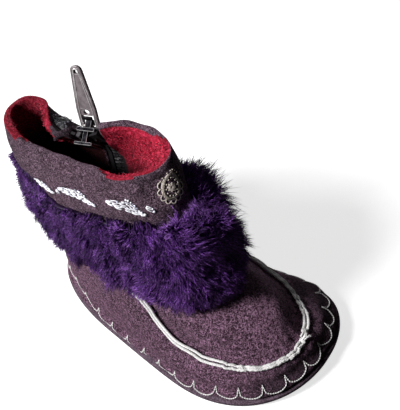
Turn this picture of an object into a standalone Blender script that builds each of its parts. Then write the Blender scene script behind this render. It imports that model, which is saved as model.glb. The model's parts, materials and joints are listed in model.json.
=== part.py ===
"""Right baby bootee: soft sole, moccasin foot, slack ankle shaft, fur band and side zip.

The toe points along +Y, the wearer's right (the outer side) is +X and +Z is up.
The bootee rests on z = 0. Tables are in millimetres and are scaled by MM when
a mesh is made.
"""

from collections import namedtuple
from math import cos, exp, pi, radians, sin

import bmesh
import bpy
import numpy as np
from mathutils import Matrix, Vector

MM = 0.001
GAP = 0.3  # space left between two pieces that meet
FACET_ROOM = 0.15  # added where two curved faces made of flats lie side by side

# Sole and insole
SOLE_THICK = 3.0
SOLE_PROUD = 0.8  # the sole shows this far outside the upper's lip
SOLE_ROUNDING = 0.7
TOE_SPRING = 3.0
SPRING_START = 30.0  # y where the toe starts to lift
ARCH_RISE = 1.2
ARCH_Y = -12.0
ARCH_REACH = 25.0
SOLE_STATIONS = 38
SOLE_ACROSS = 6
SOLE_TIP = 0.06  # angle left at each end, which makes it blunt
INSOLE_THICK = 2.4
INSOLE_INSET = 1.9

# Upper: felt outside and fleece inside, sewn as one wall
WALL = 3.0
FRONT_COLUMNS = 22  # from the zip, or its match on the outer side, to the toe
BACK_COLUMNS = 11  # from there to the heel
SLIT_COLUMNS = 2

# Zip on the inner side
ZIP_Y = -26.0
SLIT_HALF = 5.5
SLIT_BOTTOM = 44.0
CHAIN_HALF = 2.6
CHAIN_PROUD = 0.4
TAPE_REACH = 5.0
TAPE_SINK = 0.9  # the tape lies this far below the upper's surface
ZIP_BACK = 1.9  # depth of the rear face of the tape and the teeth
ZIP_END_ROOM = 1.2  # from the slit's lower end
PINCH_DEPTH = 15.5  # how far the slack collar is pushed in beside the zip
PINCH_Y = -28.0
PINCH_FRONT = 12.0  # reach of the pinch towards the toe and towards the heel
PINCH_BACK = 21.0
PINCH_LOW = 66.0  # heights between which it grows
PINCH_HIGH = 90.0

# Fur band round the ankle
FUR_DEEP = [8, 13, 14, 10, 8, 7, 7, 7, 7]  # at even shares of the way round from the zip
FUR_EDGE = 3.0
FUR_ROWS = 9
FUR_OPEN_COLUMNS = 1  # columns left free on each side of the slit

# Cord piping along the apron seam, which climbs to the fur band on both sides
CORD_RADIUS = 1.2
CORD_SHIFT = 0.1  # how far above the seam's own section it lies, in sections
CLIMB = 2.1  # sections that it climbs
CLIMB_FROM = 20.0  # y where it starts to climb
CLIMB_TO = 4.0
CLIMB_ROWS = 12

# Slider and pull tab
SLIDER_Z = 82.0
PLATE_LONG = 9.0
PLATE_WIDE = 7.4
PLATE_THICK = 1.4
FRONT_PLATE = 1.1  # its underside, from the upper's surface
BACK_PLATE = -2.9  # its upper side, behind the teeth
BACK_PLATE_THICK = 1.1
POST_HALF = 1.0
POST_LOW = 0.6  # the post stands in the upper half of the plates
SINK = 0.4  # how far the bail and the post run into the plates
BAIL_LONG = 6.6
BAIL_WIDE = 2.4
BAIL_BAR = 1.0
BAIL_ROOM = 2.4
PIN_RADIUS = 0.65
PIN_FROM_BAIL = 2.3  # pin centre below the bail's upper end
TAB_LONG = 24.5
TAB_HALF_WIDE = 3.4
TAB_HALF_TIP = 1.9
TAB_THICK = 1.3
TAB_SLOT = 7.5
TAB_SLOT_HALF = 2.0
TAB_CORNER = 0.8
TAB_HOLE = 0.85
TAB_HOLE_IN = 2.3  # hole centre from the tip
TAB_LEAN = -10.0  # degrees from upright, outwards
METAL_EDGE = 0.12  # soft edges of the slider
TAB_EDGE = 0.2  # soft edges of the tab

# Each section is a closed line round the shoe, from the sole's edge up to the rim.
# heel, toe: its ends along y. half_0 to half_3: half width at 0, 1/3, 2/3 and all
# of its length. shift_0 to shift_3: its sideways shift from the last's axis there.
# back, front: how square its ends are. z_0 to z_3: its height there.
Section = namedtuple(
    "Section",
    "name heel toe half_0 half_1 half_2 half_3 shift_0 shift_1 shift_2 shift_3 back front "
    "z_0 z_1 z_2 z_3",
)
SECTIONS = [
    Section("edge", -65.0, 67.0, 27, 27, 31.2, 34.5, 0, 0, 0, 0, 2.2, 4.2, 3.3, 3.3, 3.3, 3.3),
    Section("lip", -64.7, 66.7, 26.7, 26.7, 30.9, 34.2, 0, 0, 0, 0, 2.2, 4.2, 5.4, 5.4, 5.4, 5.4),
    Section("stitch", -62.8, 64.2, 24.7, 24.7, 29.2, 32.1, 0, 0, 0, 0, 2.2, 4, 7.6, 7.6, 7.6, 7.6),
    Section("wall", -62, 63.8, 23.9, 23.9, 28.4, 30.8, 0, 0.3, 0.7, 1, 2.2, 3.8, 14, 14, 11.5, 10),
    Section("seam", -59.6, 60.4, 19, 18, 24.4, 26, 0, 0, -0.8, 5.6, 2.2, 3, 34, 35.5, 18.5, 13.6),
    Section("apron", -59.2, 57.8, 18, 17.2, 22.2, 24, 0, 0, -0.6, 5, 2.2, 2.9, 36.5, 37, 20.5, 14.2),
    Section("dome", -58.8, 51.5, 17.2, 16.9, 19, 20.2, 0, 0.6, 1, 3, 2.2, 2.8, 39, 38.8, 29, 23.5),
    Section("crest", -58.6, 36, 16.8, 16.6, 16.4, 15.2, 0, 0.3, 0.7, 1, 2.2, 2.4, 42, 41.5, 37, 35),
    Section("instep", -58.8, 25.5, 16.6, 16, 14.8, 13.4, 0, 0.1, 0.3, 0.4, 2.2, 2.3, 49, 48, 46, 44),
    Section("ankle", -59.4, 20.5, 16.8, 16, 14.6, 13.6, 0, 0, 0, 0, 2.3, 2.4, 57, 56, 55, 54.5),
    Section("shaft", -60.8, 18.5, 17.6, 16.8, 15.2, 14.8, 0, -0.3, -0.7, -1, 2.4, 2.5, 67, 66, 65.5, 65.5),
    Section("cuff", -62.4, 17, 17.6, 16.6, 15.4, 15.8, -1, -1.5, -1.9, -2.4, 2.6, 2.8, 76, 75.5, 75, 75),
    Section("rim", -62.8, 13.6, 16.6, 15, 14, 15.4, -2.4, -3.2, -4, -4.8, 2.6, 3, 89.5, 87.5, 86.8, 86.8),
]
STEPS = [1, 2, 1, 3, 1, 2, 3, 2, 2, 2, 2, 3]  # rows of faces between two sections
LAST_AXIS = [-1.5, -0.3, 0.5, -5.5]  # sideways curve of the foot, at 0 to all of its length


def level(name):
    """Place of a section in the stack, as the height parameter of the functions below."""
    return [section.name for section in SECTIONS].index(name)


def through(values, place):
    """Smooth line through evenly spaced values that doesn't overshoot them."""
    place = min(max(place, 0.0), len(values) - 1.0)
    start = min(int(place), len(values) - 2)
    part = place - start
    rises = [after - before for before, after in zip(values, values[1:])]

    def slope(knot):
        left = rises[max(knot - 1, 0)]
        right = rises[min(knot, len(rises) - 1)]
        return 2 * left * right / (left + right) if left * right > 0 else 0.0

    low, high = values[start], values[start + 1]
    return (
        low * (1 + 2 * part) * (1 - part) ** 2
        + high * part**2 * (3 - 2 * part)
        + slope(start) * part * (1 - part) ** 2
        - slope(start + 1) * part**2 * (1 - part)
    )


def ease(value, low, high):
    part = min(max((value - low) / (high - low), 0.0), 1.0)
    return part * part * (3 - 2 * part)


def last_axis(y):
    """Sideways place of the last's long axis."""
    heel, toe = SECTIONS[0].heel, SECTIONS[0].toe
    return through(LAST_AXIS, 3 * (y - heel) / (toe - heel))


def middle_of(section, y):
    """Sideways place of a section's own long axis."""
    part = (y - section.heel) / (section.toe - section.heel)
    shifts = [section.shift_0, section.shift_1, section.shift_2, section.shift_3]
    return last_axis(y) + through(shifts, 3 * part)


def toe_lift(y):
    toe = SECTIONS[0].toe
    return TOE_SPRING * max(0.0, (y - SPRING_START) / (toe - SPRING_START)) ** 2


def section_at(place):
    """The section at a height parameter between two rows of the table."""
    numbers = [through(list(column), place) for column in list(zip(*SECTIONS))[1:]]
    return Section("between", *numbers)


def pinch(y, z):
    """How far the inner side is pushed in beside the zip, most at the rim."""
    away = (y - PINCH_Y) / (PINCH_FRONT if y > PINCH_Y else PINCH_BACK)
    return PINCH_DEPTH * ease(z, PINCH_LOW, PINCH_HIGH) * exp(-away * away)


def on_section(section, y, side):
    """Point of a section at y, on the outer (side 1) or the inner (side -1) half."""
    length = section.toe - section.heel
    part = min(max((y - section.heel) / length, 0.0), 1.0)
    along = 2 * part - 1
    square = section.front if along > 0 else section.back
    half = through([section.half_0, section.half_1, section.half_2, section.half_3], 3 * part)
    half *= max(1 - abs(along) ** square, 0.0) ** 0.5
    z = through([section.z_0, section.z_1, section.z_2, section.z_3], 3 * part)
    z += toe_lift(y) * (1 - ease(z, 8, 45))
    x = middle_of(section, y) + side * half
    if side < 0:
        x += min(pinch(y, z), half)
    return np.array([x, y, z])


def evenly(points, count):
    """Points at even distances along a line, the last one left out."""
    points = np.array(points)
    steps = np.linalg.norm(np.diff(points, axis=0), axis=1)
    reached = np.concatenate([[0.0], np.cumsum(steps)])
    wanted = np.linspace(0, reached[-1], count + 1)[:-1]
    return np.stack([np.interp(wanted, reached, points[:, axis]) for axis in range(3)], 1)


def quarter(section, y_from, y_to, side, count):
    """Even points from one y to an end of the section, closest where it turns."""
    fine = 80
    turned = [y_from + (y_to - y_from) * sin(pi / 2 * i / fine) for i in range(fine + 1)]
    line = [on_section(section, y, side) for y in turned]
    line[-1] = np.array([middle_of(section, y_to), y_to, line[-1][2]])
    return evenly(line, count)


def backwards(section, y_from, y_to, side, count):
    """As quarter, run from the end of the section to y_to."""
    fine = 80
    turned = [y_to + (y_from - y_to) * cos(pi / 2 * i / fine) for i in range(fine + 1)]
    line = [on_section(section, y, side) for y in turned]
    line[0] = np.array([middle_of(section, y_from), y_from, line[0][2]])
    return evenly(line, count)


def ring(place):
    """One closed row of points: slit front edge, toe, outer side, heel, slit back edge."""
    section = section_at(place)
    slit = np.linspace(ZIP_Y - SLIT_HALF, ZIP_Y + SLIT_HALF, SLIT_COLUMNS + 1)[:-1]
    return np.concatenate(
        [
            quarter(section, ZIP_Y + SLIT_HALF, section.toe, -1, FRONT_COLUMNS),
            backwards(section, section.toe, ZIP_Y, 1, FRONT_COLUMNS),
            quarter(section, ZIP_Y, section.heel, 1, BACK_COLUMNS),
            backwards(section, section.heel, ZIP_Y - SLIT_HALF, -1, BACK_COLUMNS),
            [on_section(section, y, -1) for y in slit],
        ]
    )


def places():
    """Height parameters of all the rows, with STEPS rows of faces between sections."""
    found = []
    for start, steps in enumerate(STEPS):
        found += [start + i / steps for i in range(steps)]
    return found + [len(SECTIONS) - 1.0]


def normals(rows):
    """Outward direction at each point of a stack of rings."""
    around = np.roll(rows, -1, axis=1) - np.roll(rows, 1, axis=1)
    upward = np.gradient(rows, axis=0)
    across = np.cross(upward, around)
    return across / np.maximum(np.linalg.norm(across, axis=2, keepdims=True), 1e-9)


def skin():
    """The outer surface as rows of points, with its outward directions."""
    rows = np.array([ring(place) for place in places()])
    core = rows.copy()
    stitch = places().index(level("stitch"))
    for row in range(stitch):  # the lip is a turned edge, so the wall runs straight down
        core[row, :, :2] = rows[stitch, :, :2]
    return rows, core, normals(core)


def new_object(name, mesh, material):
    mesh.materials.append(material)
    made = bpy.data.objects.new(name, mesh)
    bpy.context.scene.collection.objects.link(made)
    return made


def finish(name, points, faces, material, sharp=40):
    """A closed mesh from points in millimetres, facing out and shaded smooth."""
    work = bmesh.new()
    corners = [work.verts.new(Vector(point) * MM) for point in points]
    for face in faces:
        work.faces.new([corners[i] for i in face])
    bmesh.ops.recalc_face_normals(work, faces=work.faces)
    mesh = bpy.data.meshes.new(name)
    work.to_mesh(mesh)
    work.free()
    mesh.shade_smooth()
    mesh.set_sharp_from_angle(angle=radians(sharp))
    return new_object(name, mesh, material)


def sheet_faces(row_count, column_count, kept, closed):
    """Quads of a grid. kept says which ones are there. closed joins the last column on."""
    faces = []
    for row in range(row_count - 1):
        for column in range(column_count - (0 if closed else 1)):
            if not kept(row, column):
                continue
            after = (column + 1) % column_count
            low, high = row * column_count, (row + 1) * column_count
            faces.append((low + column, low + after, high + after, high + column))
    return faces


def thick_sheet(name, outside, inside, kept, closed, material):
    """A solid between two grids, with walls wherever the sheet has an edge."""
    row_count, column_count = outside.shape[:2]
    outer = sheet_faces(row_count, column_count, kept, closed)
    shift = row_count * column_count
    edges = {(f[i], f[(i + 1) % 4]) for f in outer for i in range(4)}
    rim = [(b, a, a + shift, b + shift) for a, b in edges if (b, a) not in edges]
    faces = outer + [tuple(i + shift for i in reversed(f)) for f in outer] + sorted(rim)
    points = np.concatenate([outside.reshape(-1, 3), inside.reshape(-1, 3)])
    used = sorted({i for face in faces for i in face})
    renamed = {old: new for new, old in enumerate(used)}
    faces = [tuple(renamed[i] for i in face) for face in faces]
    return finish(name, points[used], faces, material)


def material(name, colour, roughness, metallic=0.0):
    made = bpy.data.materials.new(name)
    made.use_nodes = True
    shader = made.node_tree.nodes["Principled BSDF"]
    shader.inputs["Base Color"].default_value = (*colour, 1.0)
    shader.inputs["Roughness"].default_value = roughness
    shader.inputs["Metallic"].default_value = metallic
    made.diffuse_color = (*colour, 1.0)
    return made


def arch(x, y):
    """Lift of the sole's underside along the inner side of the waist."""
    inner = ease(last_axis(y) - x, -12, 20)
    return ARCH_RISE * inner * (1 - ease(abs(y - ARCH_Y), 4, ARCH_REACH))


def plate(name, section, grow, z_low, z_high, rounding, underside, used):
    """A plate with rounded edges on a section's outline, lofted from heel to toe.

    grow moves the outline outwards. The plate follows the toe's lift, and underside
    gives the further lift of its lower face.
    """
    length = section.toe - section.heel
    rings = []
    for station in range(SOLE_STATIONS):
        turn = SOLE_TIP + (pi - 2 * SOLE_TIP) * station / (SOLE_STATIONS - 1)
        y = section.heel + length * (1 - cos(turn)) / 2
        middle = middle_of(section, y)
        half = on_section(section, y, 1)[0] - middle

        def point(share, inset, height, lift):
            along = y - cos(turn) * (grow - inset)
            x = middle + share * (half + (grow - inset) * sin(turn))
            return np.array([x, along, height + toe_lift(along) + lift * underside(x, along)])

        shares = np.linspace(-1, 1, SOLE_ACROSS)
        ring_points = [point(share, rounding, z_low, 1) for share in shares]
        ring_points.append(point(1, 0, z_low + rounding, 1))
        ring_points.append(point(1, 0, z_high - rounding / 2, 0))
        ring_points += [point(share, rounding / 2, z_high, 0) for share in shares[::-1]]
        ring_points.append(point(-1, 0, z_high - rounding / 2, 0))
        ring_points.append(point(-1, 0, z_low + rounding, 1))
        rings.append(ring_points)
    count = len(rings[0])
    faces = sheet_faces(SOLE_STATIONS, count, lambda row, column: True, True)
    faces.append(tuple(range(count)))
    faces.append(tuple(range((SOLE_STATIONS - 1) * count, SOLE_STATIONS * count)))
    return finish(name, np.concatenate(rings), faces, used)


def make_sole(leather):
    outline = SECTIONS[level("edge")]
    plate("outsole", outline, SOLE_PROUD, 0.0, SOLE_THICK, SOLE_ROUNDING, arch, leather)


def make_insole(fleece):
    low = SOLE_THICK + GAP + FACET_ROOM
    high = low + INSOLE_THICK
    inset = WALL + INSOLE_INSET
    outline = SECTIONS[level("stitch")]
    plate("insole", outline, -inset, low, high, INSOLE_THICK / 3, lambda x, y: 0.0, fleece)


def slit_row():
    """The first row of the upper that lies above the zip's lower end."""
    heights = [on_section(section_at(place), ZIP_Y, -1)[2] for place in places()]
    return next(row for row, z in enumerate(heights) if z >= SLIT_BOTTOM)


def make_upper(rows, core, out, felt):
    slit_start = len(rows[0]) - SLIT_COLUMNS
    first = slit_row()
    return thick_sheet(
        "upper",
        rows,
        core - out * WALL,
        lambda row, column: row < first or column < slit_start,
        True,
        felt,
    )


def make_fur(fur):
    """A deep band round the ankle that hangs over the instep and stops at the zip."""
    low, high = level("crest"), level("shaft") + 0.1
    turns = [pi * row / (FUR_ROWS - 1) for row in range(FUR_ROWS)]
    rows = np.array([ring(low + (high - low) * (1 - cos(turn)) / 2) for turn in turns])
    out = normals(rows)
    last = rows.shape[1] - SLIT_COLUMNS - FUR_OPEN_COLUMNS + 1
    columns = slice(FUR_OPEN_COLUMNS, last)
    rows, out = rows[:, columns], out[:, columns]
    count = rows.shape[1]
    swell = np.array([sin(turn) for turn in turns])
    most = [through(FUR_DEEP, (len(FUR_DEEP) - 1) * i / (count - 1)) for i in range(count)]
    from_end = np.minimum(np.arange(count), np.arange(count)[::-1])
    taper = np.minimum(0.45 + 0.28 * from_end, 1.0)  # thinner at the zip
    deep = FUR_EDGE + (np.array(most) - FUR_EDGE)[None, :] * swell[:, None] * taper[None, :]
    return thick_sheet(
        "fur_band",
        rows + out * deep[:, :, None],
        rows + out * (GAP + FACET_ROOM),
        lambda row, column: True,
        False,
        fur,
    )


def seam_path(start, stop, count):
    """Points just outside the apron's seam, between two shares of the way round."""
    steps = np.linspace(0, CLIMB, CLIMB_ROWS)
    stack = np.array([ring(level("seam") + CORD_SHIFT + step) for step in steps])
    stack += normals(stack) * (CORD_RADIUS + GAP + FACET_ROOM)
    columns = np.arange(2 * FRONT_COLUMNS + 1)
    path = []
    for column in np.linspace(start, stop, count) * columns[-1]:
        rows = np.array(
            [[np.interp(column, columns, row[columns, axis]) for axis in range(3)] for row in stack]
        )
        climbed = CLIMB * (1 - ease(rows[0, 1], CLIMB_TO, CLIMB_FROM))
        path.append([np.interp(climbed, steps, rows[:, axis]) for axis in range(3)])
    return np.array(path)


def make_cord(name, path, cotton):
    curve = bpy.data.curves.new(name, "CURVE")
    curve.dimensions = "3D"
    curve.bevel_depth = CORD_RADIUS * MM
    curve.bevel_resolution = 2
    curve.use_fill_caps = True
    line = curve.splines.new("POLY")
    line.points.add(len(path) - 1)
    for point, place in zip(line.points, path):
        point.co = (*(place * MM), 1.0)
    return new_object(name, curve, cotton)


def medial_wall(y, z, span=1.5):
    """Point on the inner side's outer surface, with its upward and outward directions."""
    stack = [on_section(section_at(place), y, -1) for place in places()]
    heights = np.array([point[2] for point in stack])
    sides = np.array([point[0] for point in stack])
    x = np.interp(z, heights, sides)
    ahead = np.interp(z + span, heights, sides)
    behind = np.interp(z - span, heights, sides)
    up = Vector((ahead - behind, 0, 2 * span)).normalized()
    out = Vector((-up.z, 0, up.x))
    return Vector((x, y, z)), up, out


def zip_strip(name, y_low, y_high, z_low, z_high, front, back, used):
    """A strip along the zip: front and back are depths below the upper's surface."""
    row_count = 9
    outside, inside = [], []
    for z in np.linspace(z_low, z_high, row_count):
        for depths, rows in ((front, outside), (back, inside)):
            row = []
            for y in (y_low, y_high):
                point, _, out = medial_wall(y, z)
                row.append(point - out * depths)
            rows.append(row)
    grid = np.array(outside), np.array(inside)
    return thick_sheet(name, *grid, lambda row, column: True, False, used)


def box_mesh(work, low, high, turn):
    """A box between two corners, in the slider's own frame, added to work."""
    low, high = Vector(low), Vector(high)
    size = Matrix.Diagonal((*(high - low), 1.0))
    place = turn @ Matrix.Translation((low + high) / 2) @ size
    return bmesh.ops.create_cube(work, size=1.0, matrix=place)["verts"]


def joined(name, boxes, bevel, used):
    """One body from overlapping boxes, each (low corner, high corner), with soft edges."""
    pieces = []
    for number, (low, high) in enumerate(boxes):
        work = bmesh.new()
        box_mesh(work, low, high, Matrix.Identity(4))
        bmesh.ops.bevel(
            work,
            geom=work.edges[:],
            offset=bevel,
            segments=1,
            profile=0.5,
            affect="EDGES",
            material=-1,
        )
        bmesh.ops.scale(work, vec=(MM, MM, MM), verts=work.verts)
        mesh = bpy.data.meshes.new(f"{name}_{number}")
        work.to_mesh(mesh)
        work.free()
        pieces.append(new_object(name if number == 0 else f"{name}_{number}", mesh, used))
    for piece in pieces[1:]:
        piece.hide_render = True
        piece.display_type = "WIRE"
        union = pieces[0].modifiers.new(piece.name, "BOOLEAN")
        union.operation = "UNION"
        union.object = piece
    return pieces


def slider_frame():
    """The slider's own axes: x along the zip's width, y up the zip, z outwards."""
    point, rise, _ = medial_wall(ZIP_Y, SLIDER_Z, PLATE_LONG / 2)
    across = medial_wall(ZIP_Y - CHAIN_HALF, SLIDER_Z)[0]
    across = (across - medial_wall(ZIP_Y + CHAIN_HALF, SLIDER_Z)[0]).normalized()
    out = across.cross(rise).normalized()
    turn = Matrix((across, out.cross(across), out)).transposed().to_4x4()
    return Matrix.Translation(point * MM) @ turn


def make_slider(metal):
    """Two plates held by a post, with a bail on the outer one."""
    face, back = FRONT_PLATE, BACK_PLATE
    top = face + PLATE_THICK
    crown = top + BAIL_ROOM + BAIL_BAR
    half, wide = PLATE_LONG / 2, PLATE_WIDE / 2
    bail, bar = BAIL_LONG / 2, BAIL_WIDE / 2
    boxes = [
        ((-wide, -half, face), (wide, half, top)),
        ((-wide, -half, back - BACK_PLATE_THICK), (wide, half, back)),
        ((-POST_HALF, POST_LOW, back - SINK), (POST_HALF, half - POST_LOW, face + SINK)),
        ((-bar, bail - BAIL_BAR, top - SINK), (bar, bail, crown)),
        ((-bar, -bail, top - SINK), (bar, BAIL_BAR - bail, crown)),
        ((-bar, -bail, top + BAIL_ROOM), (bar, bail, crown)),
    ]
    pieces = joined("zip_slider", boxes, METAL_EDGE, metal)
    for piece in pieces:
        piece.matrix_world = slider_frame()
    return top


def arc(radius, centre, sweep, steps):
    """Points of an arc about a point on the tab's long axis."""
    turns = [sweep * i / steps for i in range(steps + 1)]
    return [(radius * cos(turn), centre + radius * sin(turn)) for turn in turns]


def make_pull_tab(top, metal):
    """A tapered tab that hangs on the bail by the bar across its slotted end."""
    pin = Vector((0, BAIL_LONG / 2 - PIN_FROM_BAIL, top + BAIL_ROOM / 2))
    hinge = slider_frame() @ (pin * MM)
    wide, low = TAB_HALF_WIDE, -PIN_RADIUS
    outline = arc(TAB_HALF_TIP, TAB_LONG - TAB_HALF_TIP, pi, 8)
    outline += [
        (-wide, TAB_SLOT),
        (-wide, low + TAB_CORNER),
        (TAB_CORNER - wide, low),
        (wide - TAB_CORNER, low),
        (wide, low + TAB_CORNER),
        (wide, TAB_SLOT),
    ]
    slot = arc(TAB_SLOT_HALF, TAB_SLOT - TAB_SLOT_HALF, pi, 8)
    slot += [(-TAB_SLOT_HALF, PIN_RADIUS), (TAB_SLOT_HALF, PIN_RADIUS)]
    hole = arc(TAB_HOLE, TAB_LONG - TAB_HOLE_IN, 2 * pi, 12)[:-1]
    curve = bpy.data.curves.new("pull_tab", "CURVE")
    curve.dimensions = "2D"
    curve.fill_mode = "BOTH"
    curve.extrude = (TAB_THICK / 2 - TAB_EDGE) * MM
    curve.bevel_depth = TAB_EDGE * MM
    curve.bevel_resolution = 0
    curve.offset = -TAB_EDGE * MM
    for points in (outline, slot, hole):
        line = curve.splines.new("POLY")
        line.points.add(len(points) - 1)
        line.use_cyclic_u = True
        for point, (across, along) in zip(line.points, points):
            point.co = (across * MM, along * MM, 0, 1)
    made = new_object("pull_tab", curve, metal)
    # The tab's width lies along the hinge, and its length leans out from upright.
    axis = -slider_frame().col[0].xyz
    lean = Matrix.Rotation(radians(TAB_LEAN), 3, axis)
    along = lean @ Vector((0, 0, 1))
    stand = Matrix((axis, along, axis.cross(along))).transposed().to_4x4()
    made.matrix_world = Matrix.Translation(hinge) @ stand


def main():
    for old in list(bpy.data.objects):
        bpy.data.objects.remove(old)
    suede = material("suede", (0.11, 0.065, 0.09), 0.9)
    leather = material("sole_leather", (0.12, 0.09, 0.11), 0.85)
    fleece = material("fleece", (0.45, 0.01, 0.04), 0.95)
    fur = material("fur", (0.08, 0.015, 0.16), 0.85)
    cotton = material("cotton_cord", (0.8, 0.78, 0.72), 0.7)
    tape = material("zip_tape", (0.02, 0.018, 0.022), 0.8)
    metal = material("zip_metal", (0.32, 0.3, 0.33), 0.35, 1.0)

    rows, core, out = skin()
    make_sole(leather)
    make_insole(fleece)
    make_upper(rows, core, out, suede)
    make_fur(fur)
    make_cord("piping_long", seam_path(0.485, 0.87, 37), cotton)
    make_cord("piping_short", seam_path(0.13, 0.47, 28), cotton)

    foot = rows[slit_row(), -1][2] + ZIP_END_ROOM
    rim = on_section(SECTIONS[-1], ZIP_Y, -1)[2] - 1.0
    inner, outer = CHAIN_HALF + GAP, TAPE_REACH
    depths = TAPE_SINK, ZIP_BACK
    zip_strip("zip_tape_front", ZIP_Y + inner, ZIP_Y + outer, foot, rim, *depths, tape)
    zip_strip("zip_tape_back", ZIP_Y - outer, ZIP_Y - inner, foot, rim, *depths, tape)
    top = SLIDER_Z - PLATE_LONG / 2 + 1.2
    edges = ZIP_Y - CHAIN_HALF, ZIP_Y + CHAIN_HALF
    zip_strip("zip_chain", *edges, foot, top, -CHAIN_PROUD, ZIP_BACK, metal)
    make_pull_tab(make_slider(metal), metal)


main()
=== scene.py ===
import json
import math

import bmesh
import bpy
import numpy as np
from mathutils import Matrix, Vector
from mathutils.bvhtree import BVHTree
from mathutils.kdtree import KDTree

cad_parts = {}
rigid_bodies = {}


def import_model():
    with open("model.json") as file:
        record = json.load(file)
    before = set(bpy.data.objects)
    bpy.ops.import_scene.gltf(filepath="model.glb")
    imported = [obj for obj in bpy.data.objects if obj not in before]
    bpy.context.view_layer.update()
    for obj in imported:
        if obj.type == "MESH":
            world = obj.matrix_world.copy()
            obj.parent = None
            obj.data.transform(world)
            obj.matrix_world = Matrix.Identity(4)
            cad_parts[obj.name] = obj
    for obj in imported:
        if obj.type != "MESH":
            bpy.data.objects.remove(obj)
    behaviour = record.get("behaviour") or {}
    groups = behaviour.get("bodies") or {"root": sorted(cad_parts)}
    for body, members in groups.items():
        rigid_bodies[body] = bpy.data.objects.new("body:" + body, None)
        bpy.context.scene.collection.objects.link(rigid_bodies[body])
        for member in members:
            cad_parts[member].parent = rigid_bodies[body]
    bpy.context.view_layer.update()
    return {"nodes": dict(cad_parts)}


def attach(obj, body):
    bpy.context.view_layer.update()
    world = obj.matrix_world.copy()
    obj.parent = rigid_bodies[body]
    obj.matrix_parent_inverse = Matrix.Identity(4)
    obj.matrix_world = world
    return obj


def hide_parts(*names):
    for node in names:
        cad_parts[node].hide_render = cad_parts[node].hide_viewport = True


for old in list(bpy.data.objects):
    bpy.data.objects.remove(old)

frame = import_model()
mm = 0.001
print("frame loaded")


def addPiece(name, mesh, body, *materials):
    piece = bpy.data.objects.new(name, mesh)
    bpy.context.scene.collection.objects.link(piece)
    for material in materials:
        mesh.materials.append(material)
    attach(piece, body)
    return piece


def meshOf(work, name):
    mesh = bpy.data.meshes.new(name)
    work.to_mesh(mesh)
    work.free()
    return mesh


def quadsOf(node):  # a merged copy of a CAD node, its triangles paired up again
    work = bmesh.new()
    work.from_mesh(frame["nodes"][node].data)
    bmesh.ops.remove_doubles(work, verts=work.verts, dist=0.001 * mm)
    bmesh.ops.join_triangles(
        work,
        faces=work.faces,
        angle_face_threshold=math.radians(60),
        angle_shape_threshold=math.radians(75),
    )
    return work


def subdivided(work, name, levels):  # work with its subdivision surface applied
    mesh = meshOf(work, name)
    holder = bpy.data.objects.new(name + "Holder", mesh)
    bpy.context.scene.collection.objects.link(holder)
    surface = holder.modifiers.new("smooth", "SUBSURF")
    surface.levels = levels
    surface.render_levels = levels
    graph = bpy.context.evaluated_depsgraph_get()
    made = bpy.data.meshes.new_from_object(holder.evaluated_get(graph))
    made.name = name
    bpy.data.objects.remove(holder)
    bpy.data.meshes.remove(mesh)
    return made


def pointsOf(mesh):
    flat = np.empty(len(mesh.vertices) * 3, np.float32)
    mesh.vertices.foreach_get("co", flat)
    return flat.reshape(-1, 3).astype(float)


def normalsOf(mesh):
    flat = np.empty(len(mesh.vertices) * 3, np.float32)
    mesh.vertex_normals.foreach_get("vector", flat)
    return flat.reshape(-1, 3).astype(float)


def cornersOf(mesh):  # the three vertices of each triangle
    mesh.calc_loop_triangles()
    flat = np.empty(len(mesh.loop_triangles) * 3, np.int32)
    mesh.loop_triangles.foreach_get("vertices", flat)
    return flat.reshape(-1, 3)


def movePoints(mesh, points):
    mesh.vertices.foreach_set("co", points.astype(np.float32).ravel())
    mesh.update()


def treeOf(mesh, leaveOut=None):
    faces = [tuple(p.vertices) for p in mesh.polygons if p.material_index != leaveOut]
    return BVHTree.FromPolygons([v.co for v in mesh.vertices], faces)


def ease(value, low, high):
    part = np.clip((np.asarray(value, float) - low) / (high - low), 0, 1)
    return part * part * (3 - 2 * part)


def ripple(points, size, seed):  # smooth noise from a few summed waves, about -1 to 1
    total = np.zeros(len(points))
    turns = np.random.default_rng(seed)
    for _ in range(9):
        way = turns.normal(size=3)
        way *= turns.uniform(0.7, 1.6) / size / np.linalg.norm(way)
        total += np.sin(2 * math.pi * points @ way + turns.uniform(0, 2 * math.pi))
    return total / 3.2


def distanceTo(points, spots):
    tree = KDTree(len(spots))
    for index, spot in enumerate(spots):
        tree.insert(spot, index)
    tree.balance()
    return np.array([tree.find(point)[2] for point in points])


def unit(rows):
    return rows / np.linalg.norm(rows, axis=1, keepdims=True)


def runOf(line):  # distance along the line at each of its points
    return np.concatenate([[0], np.cumsum(np.linalg.norm(np.diff(line, axis=0), axis=1))])


def between(wanted, run, line):  # places on the line where its run has the wanted values
    return np.stack([np.interp(wanted, run, line[:, k]) for k in range(3)], -1)


def resample(line, step):
    line = np.asarray(line, float)
    run = runOf(line)
    count = max(int(round(run[-1] / step)), 2)
    return between(np.linspace(0, run[-1], count + 1), run, line)


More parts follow.
